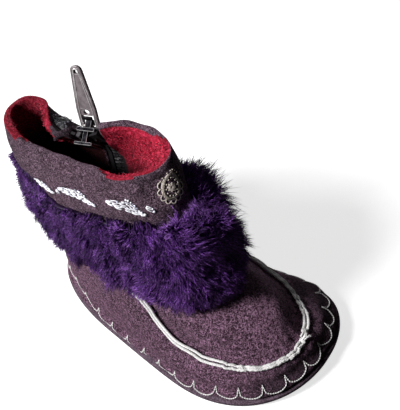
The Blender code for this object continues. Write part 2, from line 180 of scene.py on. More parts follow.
def tubes(name, lines, radius, body, material, sides=1, closed=False, sizes=None):
    # threads, cords and wires: one mesh of closed tubes along the lines
    curve = bpy.data.curves.new(name + "Line", "CURVE")
    curve.dimensions = "3D"
    curve.bevel_depth = radius
    curve.bevel_resolution = sides
    curve.use_fill_caps = not closed
    for number, line in enumerate(lines):
        spline = curve.splines.new("POLY")
        spline.points.add(len(line) - 1)
        flat = np.concatenate([np.asarray(line, float), np.ones((len(line), 1))], 1)
        spline.points.foreach_set("co", flat.ravel())
        if sizes is not None:
            spline.points.foreach_set("radius", np.asarray(sizes[number], float))
        spline.use_cyclic_u = closed
    holder = bpy.data.objects.new(name + "Holder", curve)
    bpy.context.scene.collection.objects.link(holder)
    graph = bpy.context.evaluated_depsgraph_get()
    mesh = bpy.data.meshes.new_from_object(holder.evaluated_get(graph))
    bpy.data.objects.remove(holder)
    bpy.data.curves.remove(curve)
    work = bmesh.new()
    work.from_mesh(mesh)
    bmesh.ops.remove_doubles(work, verts=work.verts, dist=0.002 * mm)
    work.to_mesh(mesh)
    work.free()
    mesh.name = name
    mesh.materials.clear()
    mesh.shade_smooth()
    return addPiece(name, mesh, body, material)


def joinedCopies(name, template, frames, body, material):
    # one mesh that holds a small template at each 4x4 frame
    spots = pointsOf(template)
    homogeneous = np.concatenate([spots, np.ones((len(spots), 1))], 1)
    points = np.einsum("nij,vj->nvi", np.asarray(frames, float), homogeneous)[:, :, :3]
    return meshFromArrays(name, points, cornersOf(template), body, material)


def meshFromArrays(name, points, corners, body, material, tones=None):
    # points: copies x template points x 3. tones: copies x template points x 3, colour data
    copies, each = points.shape[:2]
    faces = corners[None] + (np.arange(copies) * each)[:, None, None]
    mesh = bpy.data.meshes.new(name)
    mesh.vertices.add(copies * each)
    mesh.vertices.foreach_set("co", points.astype(np.float32).ravel())
    mesh.loops.add(faces.size)
    mesh.loops.foreach_set("vertex_index", faces.astype(np.int32).ravel())
    mesh.polygons.add(faces.size // 3)
    mesh.polygons.foreach_set("loop_start", np.arange(0, faces.size, 3, dtype=np.int32))
    mesh.polygons.foreach_set("use_smooth", np.ones(faces.size // 3, bool))
    if tones is not None:
        layer = mesh.attributes.new("tone", "FLOAT_COLOR", "POINT")
        colours = np.concatenate([tones.reshape(-1, 3), np.ones((copies * each, 1))], 1)
        layer.data.foreach_set("color", colours.astype(np.float32).ravel())
    mesh.update(calc_edges=True)
    mesh.validate()
    return addPiece(name, mesh, body, material)


def roundedBlock(name, size, rounding):  # a small block with bevelled edges
    work = bmesh.new()
    bmesh.ops.create_cube(work, size=1.0)
    bmesh.ops.scale(work, vec=size, verts=work.verts)
    bmesh.ops.bevel(
        work,
        geom=work.edges[:],
        offset=rounding,
        segments=1,
        profile=0.5,
        affect="EDGES",
        material=-1,
    )
    return meshOf(work, name)


def newGroup(name, inputs, outputs):
    group = bpy.data.node_groups.new(name, "ShaderNodeTree")
    for label, kind, value in inputs:
        socket = group.interface.new_socket(label, in_out="INPUT", socket_type=kind)
        socket.default_value = value
    for label, kind in outputs:
        group.interface.new_socket(label, in_out="OUTPUT", socket_type=kind)
    return group, group.nodes.new("NodeGroupInput"), group.nodes.new("NodeGroupOutput")


def put(tree, kind, **settings):  # a node with properties and input values set by name
    node = tree.nodes.new("ShaderNode" + kind)
    for key, value in settings.items():
        if hasattr(node, key):
            setattr(node, key, value)
        else:
            node.inputs[key.replace("_", " ")].default_value = value
    return node


def maths(tree, operation, first, second=None):
    node = put(tree, "Math", operation=operation)
    for slot, value in enumerate((first, second)):
        if value is None:
            continue
        if isinstance(value, (int, float)):
            node.inputs[slot].default_value = value
        else:
            tree.links.new(value, node.inputs[slot])
    return node.outputs[0]


def spread(tree, value, low, high, toLow=0.0, toHigh=1.0):  # clamped map range
    node = put(tree, "MapRange", interpolation_type="SMOOTHSTEP")
    tree.links.new(value, node.inputs["Value"])
    for label, number in (
        ("From Min", low),
        ("From Max", high),
        ("To Min", toLow),
        ("To Max", toHigh),
    ):
        node.inputs[label].default_value = number
    return node.outputs[0]


def blend(tree, factor, first, second):
    node = put(tree, "Mix", data_type="RGBA")
    for slot, value in ((0, factor), (6, first), (7, second)):
        if isinstance(value, (int, float)):
            node.inputs[slot].default_value = value
        elif isinstance(value, tuple):
            node.inputs[slot].default_value = (*value, 1.0)
        else:
            tree.links.new(value, node.inputs[slot])
    return node.outputs[2]


def placeOf(tree):
    return put(tree, "TexCoord").outputs["Object"]


def noise(tree, **settings):  # noise that lies in the object's own coordinates
    node = put(tree, "TexNoise", **settings)
    tree.links.new(placeOf(tree), node.inputs["Vector"])
    return node


def addRelief(tree, shader, height, strength, distance):
    bump = put(tree, "Bump", Strength=strength, Distance=distance)
    tree.links.new(height, bump.inputs["Height"])
    tree.links.new(bump.outputs["Normal"], shader.inputs["Normal"])


def makeNapGroup():
    # matted fibres: pale and dark flecks that wander like worms, and their height
    group, inside, outside = newGroup(
        "nap",
        [("Size", "NodeSocketFloat", 900.0), ("Wander", "NodeSocketFloat", 1.5)],
        [("Pale", "NodeSocketFloat"), ("Dark", "NodeSocketFloat"), ("Height", "NodeSocketFloat")],
    )
    worms = noise(group, Detail=2.0, Roughness=0.5)
    group.links.new(inside.outputs["Size"], worms.inputs["Scale"])
    group.links.new(inside.outputs["Wander"], worms.inputs["Distortion"])
    ridge = maths(group, "ABSOLUTE", maths(group, "SUBTRACT", worms.outputs["Fac"], 0.5))
    line = spread(group, ridge, 0.075, 0.0)
    fine = noise(group, Detail=3.0, Roughness=0.7)
    group.links.new(maths(group, "MULTIPLY", inside.outputs["Size"], 2.1), fine.inputs["Scale"])
    broken = spread(group, fine.outputs["Fac"], 0.30, 0.52)
    group.links.new(maths(group, "MULTIPLY", line, broken), outside.inputs["Pale"])
    valley = spread(group, ridge, 0.05, 0.14)
    pitted = spread(group, fine.outputs["Fac"], 0.62, 0.42)
    group.links.new(maths(group, "MULTIPLY", valley, pitted), outside.inputs["Dark"])
    height = maths(group, "MULTIPLY_ADD", line, 0.6)
    group.links.new(fine.outputs["Fac"], height.node.inputs[2])
    group.links.new(height, outside.inputs["Height"])
    return group


def makeWearGroup():
    # broad uneven shade from handling and dust, 0 to 1
    group, inside, outside = newGroup(
        "wear", [("Size", "NodeSocketFloat", 60.0)], [("Mask", "NodeSocketFloat")]
    )
    cloud = noise(group, Detail=4.0, Roughness=0.6)
    group.links.new(inside.outputs["Size"], cloud.inputs["Scale"])
    group.links.new(spread(group, cloud.outputs["Fac"], 0.35, 0.68), outside.inputs["Mask"])
    return group


napGroup = makeNapGroup()
wearGroup = makeWearGroup()


def grouped(tree, group, **values):
    node = tree.nodes.new("ShaderNodeGroup")
    node.node_tree = group
    for key, value in values.items():
        node.inputs[key].default_value = value
    return node


def newMaterial(name, roughness, metallic=0.0, sheen=0.0, sheenTint=(1, 1, 1), coat=0.0):
    material = bpy.data.materials.new(name)
    material.use_nodes = True
    tree = material.node_tree
    shader = tree.nodes["Principled BSDF"]
    shader.inputs["Roughness"].default_value = roughness
    shader.inputs["Metallic"].default_value = metallic
    shader.inputs["Sheen Weight"].default_value = sheen
    shader.inputs["Sheen Tint"].default_value = (*sheenTint, 1.0)
    shader.inputs["Coat Weight"].default_value = coat
    return material, tree, shader


def darkenedInBands(tree, colour, bands):
    # colour made darker in each band, given by axis, where it starts and where it is full on
    # that axis, and the share of the colour left there
    # the bands are mostly painted shade on the suede, tweed, fur and lining
    place = put(tree, "SeparateXYZ")
    tree.links.new(placeOf(tree), place.inputs[0])
    left = None
    for bounds, kept in bands:
        cover = None
        for axis, start, full in bounds:
            part = spread(tree, place.outputs[axis], start, full)
            cover = part if cover is None else maths(tree, "MULTIPLY", cover, part)
        share = maths(tree, "SUBTRACT", 1.0, maths(tree, "MULTIPLY", cover, 1 - kept))
        left = share if left is None else maths(tree, "MULTIPLY", left, share)
    scaled = put(tree, "VectorMath", operation="SCALE")
    tree.links.new(colour, scaled.inputs[0])
    tree.links.new(left, scaled.inputs["Scale"])
    return scaled.outputs[0]


def feltMaterial(
    name, base, pale, dark, size, wander, bump, sheen, depth=0.25 * mm, wear=55.0, bands=()
):
    # suede and felt share this: base colour, pale and dark flecks, uneven wear, fibre relief
    material, tree, shader = newMaterial(name, 0.92, sheen=sheen, sheenTint=pale)
    shader.inputs["Specular IOR Level"].default_value = 0.25
    nap = grouped(tree, napGroup, Size=size, Wander=wander)
    rubbed = grouped(tree, wearGroup, Size=wear)
    deep = tuple(c * 0.55 for c in base)
    colour = blend(tree, rubbed.outputs["Mask"], deep, base)
    colour = blend(tree, maths(tree, "MULTIPLY", nap.outputs["Dark"], 0.75), colour, dark)
    colour = blend(tree, maths(tree, "MULTIPLY", nap.outputs["Pale"], 0.85), colour, pale)
    if bands:
        colour = darkenedInBands(tree, colour, bands)
    tree.links.new(colour, shader.inputs["Base Color"])
    addRelief(tree, shader, nap.outputs["Height"], bump, depth)
    return material


suede = feltMaterial(
    "suede",
    base=(0.078, 0.033, 0.058),
    pale=(0.50, 0.275, 0.42),
    dark=(0.007, 0.003, 0.006),
    size=860.0,
    wander=1.1,
    bump=0.9,
    sheen=0.2,
    depth=0.45 * mm,
    wear=70.0,
    # painted shade: darker low round the toe, on the outer side towards the heel and on the inner
    # side towards the toe
    bands=(
        (((1, 0.036, 0.060), (2, 0.0180, 0.0090)), 0.25),
        (((0, 0.015, 0.022), (1, 0.034, 0.020)), 0.78),
        (((0, -0.010, -0.022), (1, 0.028, 0.045)), 0.55),
    ),
)
tweed = feltMaterial(
    "tweed",
    base=(0.056, 0.027, 0.043),
    pale=(0.42, 0.27, 0.37),
    dark=(0.006, 0.003, 0.005),
    size=820.0,
    wander=1.6,
    bump=1.0,
    sheen=0.2,
    depth=0.5 * mm,
    wear=130.0,
    # darker towards the heel as painted shade, and darker on the rim just behind the zip
    bands=(
        (((1, -0.030, -0.056),), 0.64),
        (((0, 0.008, 0.003), (1, -0.042, -0.038), (1, -0.026, -0.031), (2, 0.081, 0.084)), 0.3),
    ),
)
# painted shade inside: darker low down, most beside the zip's rear half, and darker in the heel's
# corner
insidePaintedShade = (
    (((2, 0.078, 0.060),), 0.3),
    (((2, 0.084, 0.071), (1, -0.017, -0.029)), 0.1),
    (((1, -0.028, -0.056),), 0.55),
)
fleece = feltMaterial(
    "fleeceLining",
    base=(0.40, 0.007, 0.030),
    pale=(0.66, 0.04, 0.10),
    dark=(0.13, 0.001, 0.006),
    size=520.0,
    wander=1.0,
    bump=0.9,
    sheen=0.15,
    depth=0.5 * mm,
    bands=insidePaintedShade,
)
soleSkin = feltMaterial(
    "soleSkin",
    base=(0.080, 0.050, 0.072),
    pale=(0.17, 0.12, 0.16),
    dark=(0.030, 0.017, 0.027),
    size=1100.0,
    wander=0.6,
    bump=0.35,
    sheen=0.1,
)


def threadMaterial(name, colour, shadow, roughness=0.6, sheen=0.2):
    # spun thread: fine fibre streaks in the colour and in the relief
    material, tree, shader = newMaterial(name, roughness, sheen=sheen)
    fibre = noise(tree, Scale=2600.0, Detail=3.0, Roughness=0.65)
    dusty = grouped(tree, wearGroup, Size=140.0)
    tone = maths(tree, "MULTIPLY", spread(tree, fibre.outputs["Fac"], 0.35, 0.6), 0.75)
    tone = maths(tree, "ADD", tone, maths(tree, "MULTIPLY", dusty.outputs["Mask"], 0.25))
    tree.links.new(blend(tree, tone, shadow, colour), shader.inputs["Base Color"])
    addRelief(tree, shader, fibre.outputs["Fac"], 0.4, 0.08 * mm)
    return material


cotton = threadMaterial("whiteCotton", (0.80, 0.79, 0.78), (0.48, 0.46, 0.46))
embroidery = threadMaterial("creamEmbroidery", (0.82, 0.74, 0.66), (0.48, 0.41, 0.36))
silverThread = threadMaterial("silverThread", (0.92, 0.92, 0.95), (0.62, 0.61, 0.70), 0.30)
tapeCloth = threadMaterial("zipTapeCloth", (0.011, 0.009, 0.012), (0.003, 0.002, 0.003), 0.95, 0.0)


def makeMetal(name, dull, bright, metallic, rough=(0.42, 0.22)):
    # plated metal with smudges that dull it, and fine scratches
    material, tree, shader = newMaterial(name, 0.3, metallic=metallic)
    smudge = grouped(tree, wearGroup, Size=420.0)
    mask = smudge.outputs["Mask"]
    tree.links.new(blend(tree, mask, dull, bright), shader.inputs["Base Color"])
    tree.links.new(spread(tree, mask, 0.0, 1.0, *rough), shader.inputs["Roughness"])
    scratch = noise(tree, Scale=2400.0, Detail=2.0)
    addRelief(tree, shader, scratch.outputs["Fac"], 0.12, 0.05 * mm)
    return material


tabMetal = makeMetal("satinNickel", (0.16, 0.135, 0.145), (0.29, 0.25, 0.265), 0.35)
# the tab's bevels and raised border: worn bright metal, with painted highlights along them
wornGlintEdge = makeMetal("wornGlintEdge", (0.62, 0.60, 0.60), (0.92, 0.90, 0.90), 0.5)
sliderMetal = makeMetal(
    "blackNickel", (0.006, 0.005, 0.007), (0.016, 0.015, 0.018), 1.0, (0.75, 0.6)
)
# pale bevels on the black slider: painted glints
sliderGlintEdge = makeMetal("sliderGlintEdge", (0.42, 0.41, 0.42), (0.90, 0.88, 0.90), 0.6, (0.32, 0.22))
teethMetal = makeMetal("zipTeethMetal", (0.02, 0.018, 0.02), (0.08, 0.076, 0.08), 1.0, (0.7, 0.5))


def pileMaterial(name, root, body, tip, sheen, bands):
    # strands carry "tone": red runs root to tip, green is the strand's own shade
    material, tree, shader = newMaterial(name, 0.6, sheen=sheen, sheenTint=tip)
    shader.inputs["Specular IOR Level"].default_value = 0.3
    layer = put(tree, "Attribute", attribute_name="tone")
    parts = put(tree, "SeparateColor")
    tree.links.new(layer.outputs["Color"], parts.inputs[0])
    along, own = parts.outputs[0], parts.outputs[1]
    # the dark roots are painted shade deep in the pile, and the pale tips painted highlights
    colour = blend(tree, spread(tree, along, 0.0, 0.55), root, body)
    bright = maths(tree, "MULTIPLY", spread(tree, along, 0.45, 1.0), own)
    colour = blend(tree, bright, colour, tip)
    crimp = noise(tree, Scale=1500.0, Detail=2.0, Roughness=0.6)
    banded = spread(tree, crimp.outputs["Fac"], 0.38, 0.62, 0.3, 1.9)
    shade = maths(tree, "MULTIPLY", spread(tree, own, 0.0, 1.0, 0.4, 1.25), banded)
    darker = put(tree, "VectorMath", operation="SCALE")
    tree.links.new(colour, darker.inputs[0])
    tree.links.new(shade, darker.inputs["Scale"])
    tree.links.new(darkenedInBands(tree, darker.outputs[0], bands), shader.inputs["Base Color"])
    return material


furPile = pileMaterial(
    "furPile",
    root=(0.008, 0.001, 0.020),
    body=(0.085, 0.016, 0.180),
    tip=(0.42, 0.18, 0.64),
    sheen=0.12,
    # painted shade: darker towards the heel
    bands=((((1, 0.018, -0.010),), 0.75),),
)
fleecePile = pileMaterial(
    "fleecePile",
    root=(0.16, 0.002, 0.010),
    body=(0.46, 0.009, 0.040),
    tip=(0.74, 0.06, 0.12),
    sheen=0.15,
    bands=insidePaintedShade,
)
print("materials made")


upperLook = {
    "rimFrom": 84 * mm,  # the collar's edge lies above this
    "rimRows": 6,  # rows across it
    "feltFrom": 60 * mm,  # height where the ankle's felt starts, under the fur
    "lumps": (0.35 * mm, 15 * mm),  # depth and size of the soft unevenness
    "hem": 1.2 * mm,  # how far the collar's lower edge stands over the fur
    # the slack rim behind the zip folds inwards: where this starts, is full, fades and ends
    # along the shoe, and the heights where it starts and is full
    "foldBy": (4.6 * mm, 0.0, -1.6 * mm),
    "foldBetween": (-52 * mm, -42 * mm, -36 * mm, -31.5 * mm),
    "foldHeights": (73 * mm, 88 * mm),
    # in front of the zip the rim stands a little higher
    "cornerLift": 3.0 * mm,
    "cornerBetween": (-27 * mm, -22 * mm, -20 * mm, -4 * mm),
    "cornerHeights": (74 * mm, 86 * mm),
    # and it sags at the outer front: how much, at what y and over what half length
    "rimDip": (1.3 * mm, 0.5 * mm, 6 * mm),
    "rimDipHeights": (78 * mm, 85 * mm),
    "spring": (3.0 * mm, 30 * mm, 67 * mm),  # the toe's lift, and where it starts and ends
    "seamDip": (0.75 * mm, 1.9 * mm),  # depth and half width of the dip under the cord
    # the groove beside the cord: depth, half width, how far inwards and how far up from it
    "groove": (0.9 * mm, 1.3 * mm, 1.9 * mm, 0.5 * mm),
    "gathers": 0.28 * mm,  # in the wrap below the cord
    "pits": (0.5 * mm, 1.5 * mm),  # depth and half width where the scallops pull the wrap in
}


def toeLift(y):
    height, start, end = upperLook["spring"]
    part = max(0.0, (y - start) / (end - start))
    return height * part * part


def sheetsOf(work, angle):  # groups of faces divided by edges sharper than angle
    found, free = [], set(work.faces)
    while free:
        start = free.pop()
        group, ahead = {start}, [start]
        while ahead:
            for edge in ahead.pop().edges:
                if len(edge.link_faces) != 2 or edge.calc_face_angle() > angle:
                    continue
                for face in edge.link_faces:
                    if face in free:
                        free.discard(face)
                        group.add(face)
                        ahead.append(face)
        found.append(group)
    return sorted(found, key=len, reverse=True)


redRows = {
    # the red lining shows from this one of the rim's rows inwards, up to a y in mm
    "outer": {
        -47: 2,
        -42: 3,
        -36: 4,
        -31: 5,
        -8: 6,
        -6.5: 5,
        -5: 3,
        -4: 2,
        7: 1,
        99: 2,
    },
    "inner": {-41: 2, -37: 3, -34: 4, -31.5: 5, -3: 6, 1: 5, 4: 4, 6: 3, 99: 2},
}


def redFrom(spot):
    for limit, row in redRows["outer" if spot.x > 2 * mm else "inner"].items():
        if spot.y < limit * mm:
            return row


def makeUpperMesh():
    work = quadsOf("upper")
    work.normal_update()
    sheets = sheetsOf(work, math.radians(52))
    inner, outer = sorted(sheets[:2], key=lambda group: sum(face.calc_area() for face in group))
    for face in work.faces:
        if face in inner:
            face.material_index = 2
        else:
            face.material_index = int(face.calc_center_median().z > upperLook["feltFrom"])
    outerVerts = {vert for face in outer for vert in face.verts}
    innerVerts = {vert for face in inner for vert in face.verts}
    across = set()
    for face in work.faces:
        if face in outer or face in inner:
            continue
        if face.calc_center_median().z <= upperLook["rimFrom"]:
            continue
        for edge in face.edges:
            start, end = edge.verts
            if (start in outerVerts) == (end in outerVerts):
                continue
            if (start in innerVerts) != (end in innerVerts):
                across.add(edge)
    rimSpots = {vert for edge in across for vert in edge.verts}
    outerRim = [vert.co.copy() for vert in rimSpots if vert in outerVerts]
    innerRim = [vert.co.copy() for vert in rimSpots if vert in innerVerts]
    bmesh.ops.subdivide_edges(work, edges=list(across), cuts=upperLook["rimRows"] - 1)
    known = rimSpots | outerVerts | innerVerts
    for face in work.faces:
        if face in outer or face in inner:
            continue
        if not known.issuperset(face.verts):  # a face that the cuts made
            spot = face.calc_center_median()
            near = min((spot - co).length for co in outerRim)
            far = min((spot - co).length for co in innerRim)
            row = int(near / (near + far) * upperLook["rimRows"])
            face.material_index = 1 if row < redFrom(spot) else 2
    return subdivided(work, "upperSkin", 2)


skinMesh = makeUpperMesh()
roughTree = treeOf(skinMesh)


def castIn(tree, point, towards):
    hit, normal, _, _ = tree.ray_cast(Vector(point), Vector(towards))
    return hit, normal


def footRing(height, count):
    # evenly spaced places round the foot at a height above the lifted toe's line
    places = []
    for step in range(360):
        turn = 2 * math.pi * step / 360
        spot = Vector((33 * mm * math.cos(turn), 68 * mm * math.sin(turn), 0)) * 1.3
        lift = 0.0
        for _ in range(3):
            start = Vector((spot.x, spot.y, height + lift))
            inwards = Vector((-spot.x * 1.1, -spot.y * 0.9, 0)).normalized()
            hit, _ = castIn(roughTree, start, inwards)
            lift = toeLift(hit.y)
        places.append(hit)
    places.append(places[0])
    line = np.array(places)
    run = runOf(line)
    wanted = np.linspace(0, run[-1], count, endpoint=False)
    return between(wanted, run, line), run[-1]


stitchLook = {
    "level": 8 * mm,  # height where the way round the foot is measured
    "scallops": 35,
    # scallop number, and how far round from the outer side's middle it starts: below 0 it is
    # measured back from there
    "places": ((0, 2.4 * mm), (10, 92.8 * mm), (30, -47 * mm), (35, None)),
    "aboutRound": 330 * mm,  # the way round that the next table is drawn for
    # in mm: how far round, height of the scallops' points and how deep they hang
    "heights": (
        (0, 6.2, 2.9),
        (20, 7.2, 2.9),
        (40, 7.9, 3.2),
        (75, 8.7, 3.3),
        (110, 9.6, 3.2),
        (170, 9.0, 2.9),
        (250, 9.5, 2.9),
        (285, 10.8, 2.6),
        (305, 7.2, 2.9),
        (330, 6.2, 2.9),
    ),
    "spike": 1.5 * mm,  # the long stitch at each point
    "spikeSteps": 1.6,
    "thread": 0.26 * mm,
    "bead": 0.95 * mm,  # length of one bead of the thread
    "steps": 28,  # in each scallop
    # middle and half length of the outer run where the nap closes over the arcs, how deep, and
    # over what length it fades at each end
    "sunk": (-24 * mm, 50 * mm, 1.5, 12 * mm),
    "castFrom": 12 * mm,  # the places on the skin are found from this far outside
}
baseRing, girth = footRing(stitchLook["level"], 1440)
closedRing = np.concatenate([baseRing, baseRing[:1]])
ringRuns = np.linspace(0, girth, len(closedRing))


def scallopStarts():
    numbers, runs = [], []
    for number, run in stitchLook["places"]:
        numbers.append(number)
        if run is None:
            run = girth + stitchLook["places"][0][1]
        runs.append(run if run >= 0 else girth + run)
    steps = stitchLook["steps"]
    return np.interp(np.arange(stitchLook["scallops"] * steps) / steps, numbers, runs)


def scallopLine(tree):
    line, cusps = [], []
    heights = np.array(stitchLook["heights"]) * mm
    heights[:, 0] *= girth / stitchLook["aboutRound"]
    steps, spike, tall = stitchLook["steps"], stitchLook["spikeSteps"], stitchLook["spike"]
    middle, half, deep, fade = stitchLook["sunk"]
    for number, run in enumerate(scallopStarts()):
        run = run % girth
        spot = Vector(between(run, ringRuns, closedRing))
        ahead = Vector(between((run + mm) % girth, ringRuns, closedRing))
        way = Vector((ahead.y - spot.y, spot.x - ahead.x, 0)).normalized()
        part = (number % steps) / steps
        tip = np.interp(run, heights[:, 0], heights[:, 1])
        hang = np.interp(run, heights[:, 0], heights[:, 2]) - tall
        height = tip - tall - hang * math.sin(math.pi * part) ** 0.75
        near = min(part, 1 - part) * steps
        if near < spike:
            height += tall * (1 - near / spike)
        spot.z = height + toeLift(spot.y)
        hit, normal = castIn(tree, spot + way * stitchLook["castFrom"], -way)
        if hit is None:
            hit, normal = tree.find_nearest(spot)[:2]
        apart = abs((run - middle + girth / 2) % girth - girth / 2)
        closed = min(max((half - apart) / fade, 0), 1) * math.sin(math.pi * part) ** 0.5
        line.append(hit + normal * stitchLook["thread"] * (1 - deep * closed))
        if number % steps == 0:
            cusps.append(hit.copy())
    return line, cusps


_, cusps = scallopLine(roughTree)


def cordCentre(node, centre, bins):  # middle line of a CAD cord, ordered by its turn round centre
    places = pointsOf(frame["nodes"][node].data)
    places = np.unique(places.round(7), axis=0)
    turns = np.arctan2(places[:, 1] - centre[1], places[:, 0] - centre[0])
    turns = np.mod(turns + math.pi / 2, 2 * math.pi)
    edges = np.quantile(turns, np.linspace(0, 1, bins + 1))
    middle = []
    for low, high in zip(edges[:-1], edges[1:]):
        chosen = (turns >= low) & (turns <= high)
        middle.append(places[chosen].mean(0))
    return np.array(middle)


longRun = cordCentre("piping_long", (0.002, 0.022), 30)
shortRun = cordCentre("piping_short", (0.002, 0.022), 22)
print("scallops and cord lines laid out")

creases = [
    # from, to, width and depth in mm: troughs in the slack collar and the foot, and ridges
    # where the depth is negative
    ((14.5, -3, 85.5), (11.5, 6, 77.5), 2.2, 1.3),
    ((12.5, 4, 86), (9.0, 11, 79), 2.0, 1.3),
    ((8.5, 9.5, 85.5), (3.5, 14, 77), 2.2, 1.0),
    ((13, -1, 81), (8, 12, 77.5), 1.8, 0.9),
    ((10.5, 5, 83.0), (6.5, 12.5, 81), 1.8, -0.9),
    ((6.3, 7.5, 83.8), (-1.5, 13.8, 82.8), 1.3, 1.5),
    ((5.4, 10.0, 81.4), (1.6, 13.2, 79.4), 1.0, 1.1),
    ((8.6, 6.2, 81.4), (6.3, 10.2, 82.4), 1.0, -0.8),
    ((17, -58, 84), (15.5, -36, 79.5), 1.8, 0.8),
    ((15.5, -60, 80), (16.2, -44, 77), 1.8, 0.7),
    ((16, -34, 85), (13.5, -12, 82), 3.4, -0.7),
    ((15.5, -30, 80), (14.5, -14, 78.5), 2.4, 0.5),
    ((4, 14, 84), (-9, 15, 76), 2.8, 0.7),
    ((15, -50, 82), (5, -61, 73), 3.0, 0.8),
    ((-17, -48, 84), (-14, -58, 74), 3.0, 0.8),
    ((-15, -52, 78), (-17, -38, 76), 2.2, 0.8),
    ((-12, -14, 84), (-15, -2, 72), 3.0, 0.8),
    ((-13, 2, 84), (-8, 12, 73), 2.6, 0.8),
    ((14, 30, 34), (-10, 40, 33), 5.0, 0.5),
    ((27, 10, 16), (29, 28, 12), 4.0, 0.5),
    ((24, -40, 22), (26, -20, 16), 5.0, 0.6),
    ((-24, 22, 18), (-27, 34, 14), 4.0, 0.6),
]


def creaseDepth(points):
    total = np.zeros(len(points))
    for start, end, width, depth in creases:
        start, end = np.array(start) * mm, np.array(end) * mm
        way = end - start
        part = np.clip((points - start) @ way / (way @ way), 0, 1)
        away = np.linalg.norm(points - start - part[:, None] * way, axis=1)
        fade = np.sin(np.clip(part, 0.08, 0.92) * math.pi) ** 0.5
        total -= depth * mm * fade * np.exp(-((away / (width * mm)) ** 2))
    return total


hemHeights = {
    # y and height in mm of the collar's lower edge, where the fur comes out from under it
    "outer": (
        (-62, 77),
        (-50, 77),
        (-38, 75),
        (-33, 69.5),
        (-25, 67.2),
        (-18, 67.9),
        (-8, 70),
        (8, 70.8),
        (15, 68),
        (19, 64.5),
    ),
    "inner": ((-62, 77), (-45, 71), (-30, 69), (-10, 69), (5, 68), (15, 66), (19, 64.5)),
}


def hemHeight(points):
    rows = {side: np.array(pairs) * mm for side, pairs in hemHeights.items()}
    outerSide = np.interp(points[:, 1], rows["outer"][:, 0], rows["outer"][:, 1])
    innerSide = np.interp(points[:, 1], rows["inner"][:, 0], rows["inner"][:, 1])
    return innerSide + (outerSide - innerSide) * ease(points[:, 0], -8 * mm, 6 * mm)


def dimple(away, depth, half):  # a soft hollow round the places that away is measured from
    return depth * np.exp(-((away / half) ** 2))


def within(value, start, full, fading, end):  # 1 from full to fading, 0 outside start and end
    return ease(value, start, full) * (1 - ease(value, fading, end))


def shapeUpper(mesh):
    points, outward = pointsOf(mesh), normalsOf(mesh)
    outside = np.zeros(len(points), bool)
    for polygon in mesh.polygons:
        if polygon.material_index != 2:
            outside[list(polygon.vertices)] = True
    depth, size = upperLook["lumps"]
    lean = np.where(outside, 1.0, -1.0)  # both faces of the wall move the same way
    shift = lean * depth * ripple(points, size, 5)
    shift += lean * creaseDepth(points)
    run = np.concatenate([resample(longRun, 0.5 * mm), resample(shortRun, 0.5 * mm)])
    cord = distanceTo(points, run)
    shift -= outside * dimple(cord, *upperLook["seamDip"])
    inward = unit((np.array([0.0, 18 * mm, 0.0]) - run) * [1, 1, 0])
    depth, half, inwards, up = upperLook["groove"]
    groove = distanceTo(points, run + inward * inwards + [0, 0, up])
    shift -= outside * dimple(groove, depth, half)
    # short gathers in the wrap below the cord, strongest round the toe
    seam = np.clip((points[:, 2] - 8 * mm) / (9 * mm), 0, 1) * (1 - ease(cord, 4 * mm, 9 * mm))
    seam *= ease(points[:, 1], 30 * mm, 52 * mm)
    turn = np.arctan2(points[:, 1] - 25 * mm, points[:, 0])
    shift += outside * seam * upperLook["gathers"] * np.sin(turn * 46 + 1.5 * np.sin(turn * 9))
    aboveHem = ease(points[:, 2] - hemHeight(points), -0.8 * mm, 0.4 * mm)
    shift += outside * upperLook["hem"] * aboveHem * (1 - ease(points[:, 2], 76 * mm, 87 * mm))
    shift -= outside * dimple(distanceTo(points, cusps), *upperLook["pits"])
    # the slack rim: folded in behind the zip, lifted in front of it, sagging at the outer front
    fold = within(points[:, 1], *upperLook["foldBetween"])
    fold *= ease(points[:, 2], *upperLook["foldHeights"]) * (1 - ease(points[:, 0], 0, 5 * mm))
    points = points + fold[:, None] * np.array(upperLook["foldBy"])
    corner = within(points[:, 1], *upperLook["cornerBetween"])
    corner *= ease(points[:, 2], *upperLook["cornerHeights"])
    corner *= 1 - ease(points[:, 0], 2 * mm, 8 * mm)
    points[:, 2] += upperLook["cornerLift"] * corner
    depth, middle, half = upperLook["rimDip"]
    dip = dimple(points[:, 1] - middle, depth, half) * ease(points[:, 0], 1 * mm, 6 * mm)
    points[:, 2] -= dip * ease(points[:, 2], *upperLook["rimDipHeights"])
    movePoints(mesh, points + outward * shift[:, None])
    return outside


skinOutside = shapeUpper(skinMesh)
skinMesh.shade_smooth()
skinTree = treeOf(skinMesh, leaveOut=2)  # the outside only
upper = addPiece("upperShell", skinMesh, "bootee", suede, tweed, fleece)
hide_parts("upper")
print("upper", len(skinMesh.polygons), "faces")


def onSkin(point):
    spot, normal, _, _ = skinTree.find_nearest(Vector(point))
    return spot, normal


def finishSheet(node, name, material, levels):
    mesh = subdivided(quadsOf(node), name, levels)
    if levels:
        mesh.shade_smooth()
    piece = addPiece(name, mesh, "bootee", material)
    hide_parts(node)


finishSheet("outsole", "outsoleShell", soleSkin, 2)
finishSheet("insole", "insolePad", fleece, 2)


def beaded(line, pitch):  # point sizes that swell once for each bead
    return 0.78 + 0.42 * np.sin(2 * math.pi * runOf(line) / pitch)


stitchLine, _ = scallopLine(skinTree)
closedLine = resample(stitchLine + stitchLine[:1], 0.24 * mm)[:-1]
tubes(
    "shellStitching",
    [closedLine],
    stitchLook["thread"],
    "bootee",
    cotton,
    closed=True,
    sizes=[beaded(closedLine, stitchLook["bead"])],
)
print("stitching done")


pipingLook = {
    "step": 0.35 * mm,
    "strand": 0.62 * mm,  # radius of each of the two cords
    "apart": 0.60 * mm,  # from the seam to each cord's middle
    "ply": 0.36 * mm,
    "twist": 2.6 * mm,  # length of one turn of the plies
    "lift": 0.45 * mm,
    "sway": ((0.18 * mm, 7.3 * mm), (0.1 * mm, 3.1 * mm)),  # how far the cord wanders, and pace
    "frays": 3,
    "frayLong": (2.4 * mm, 4.4 * mm),
}


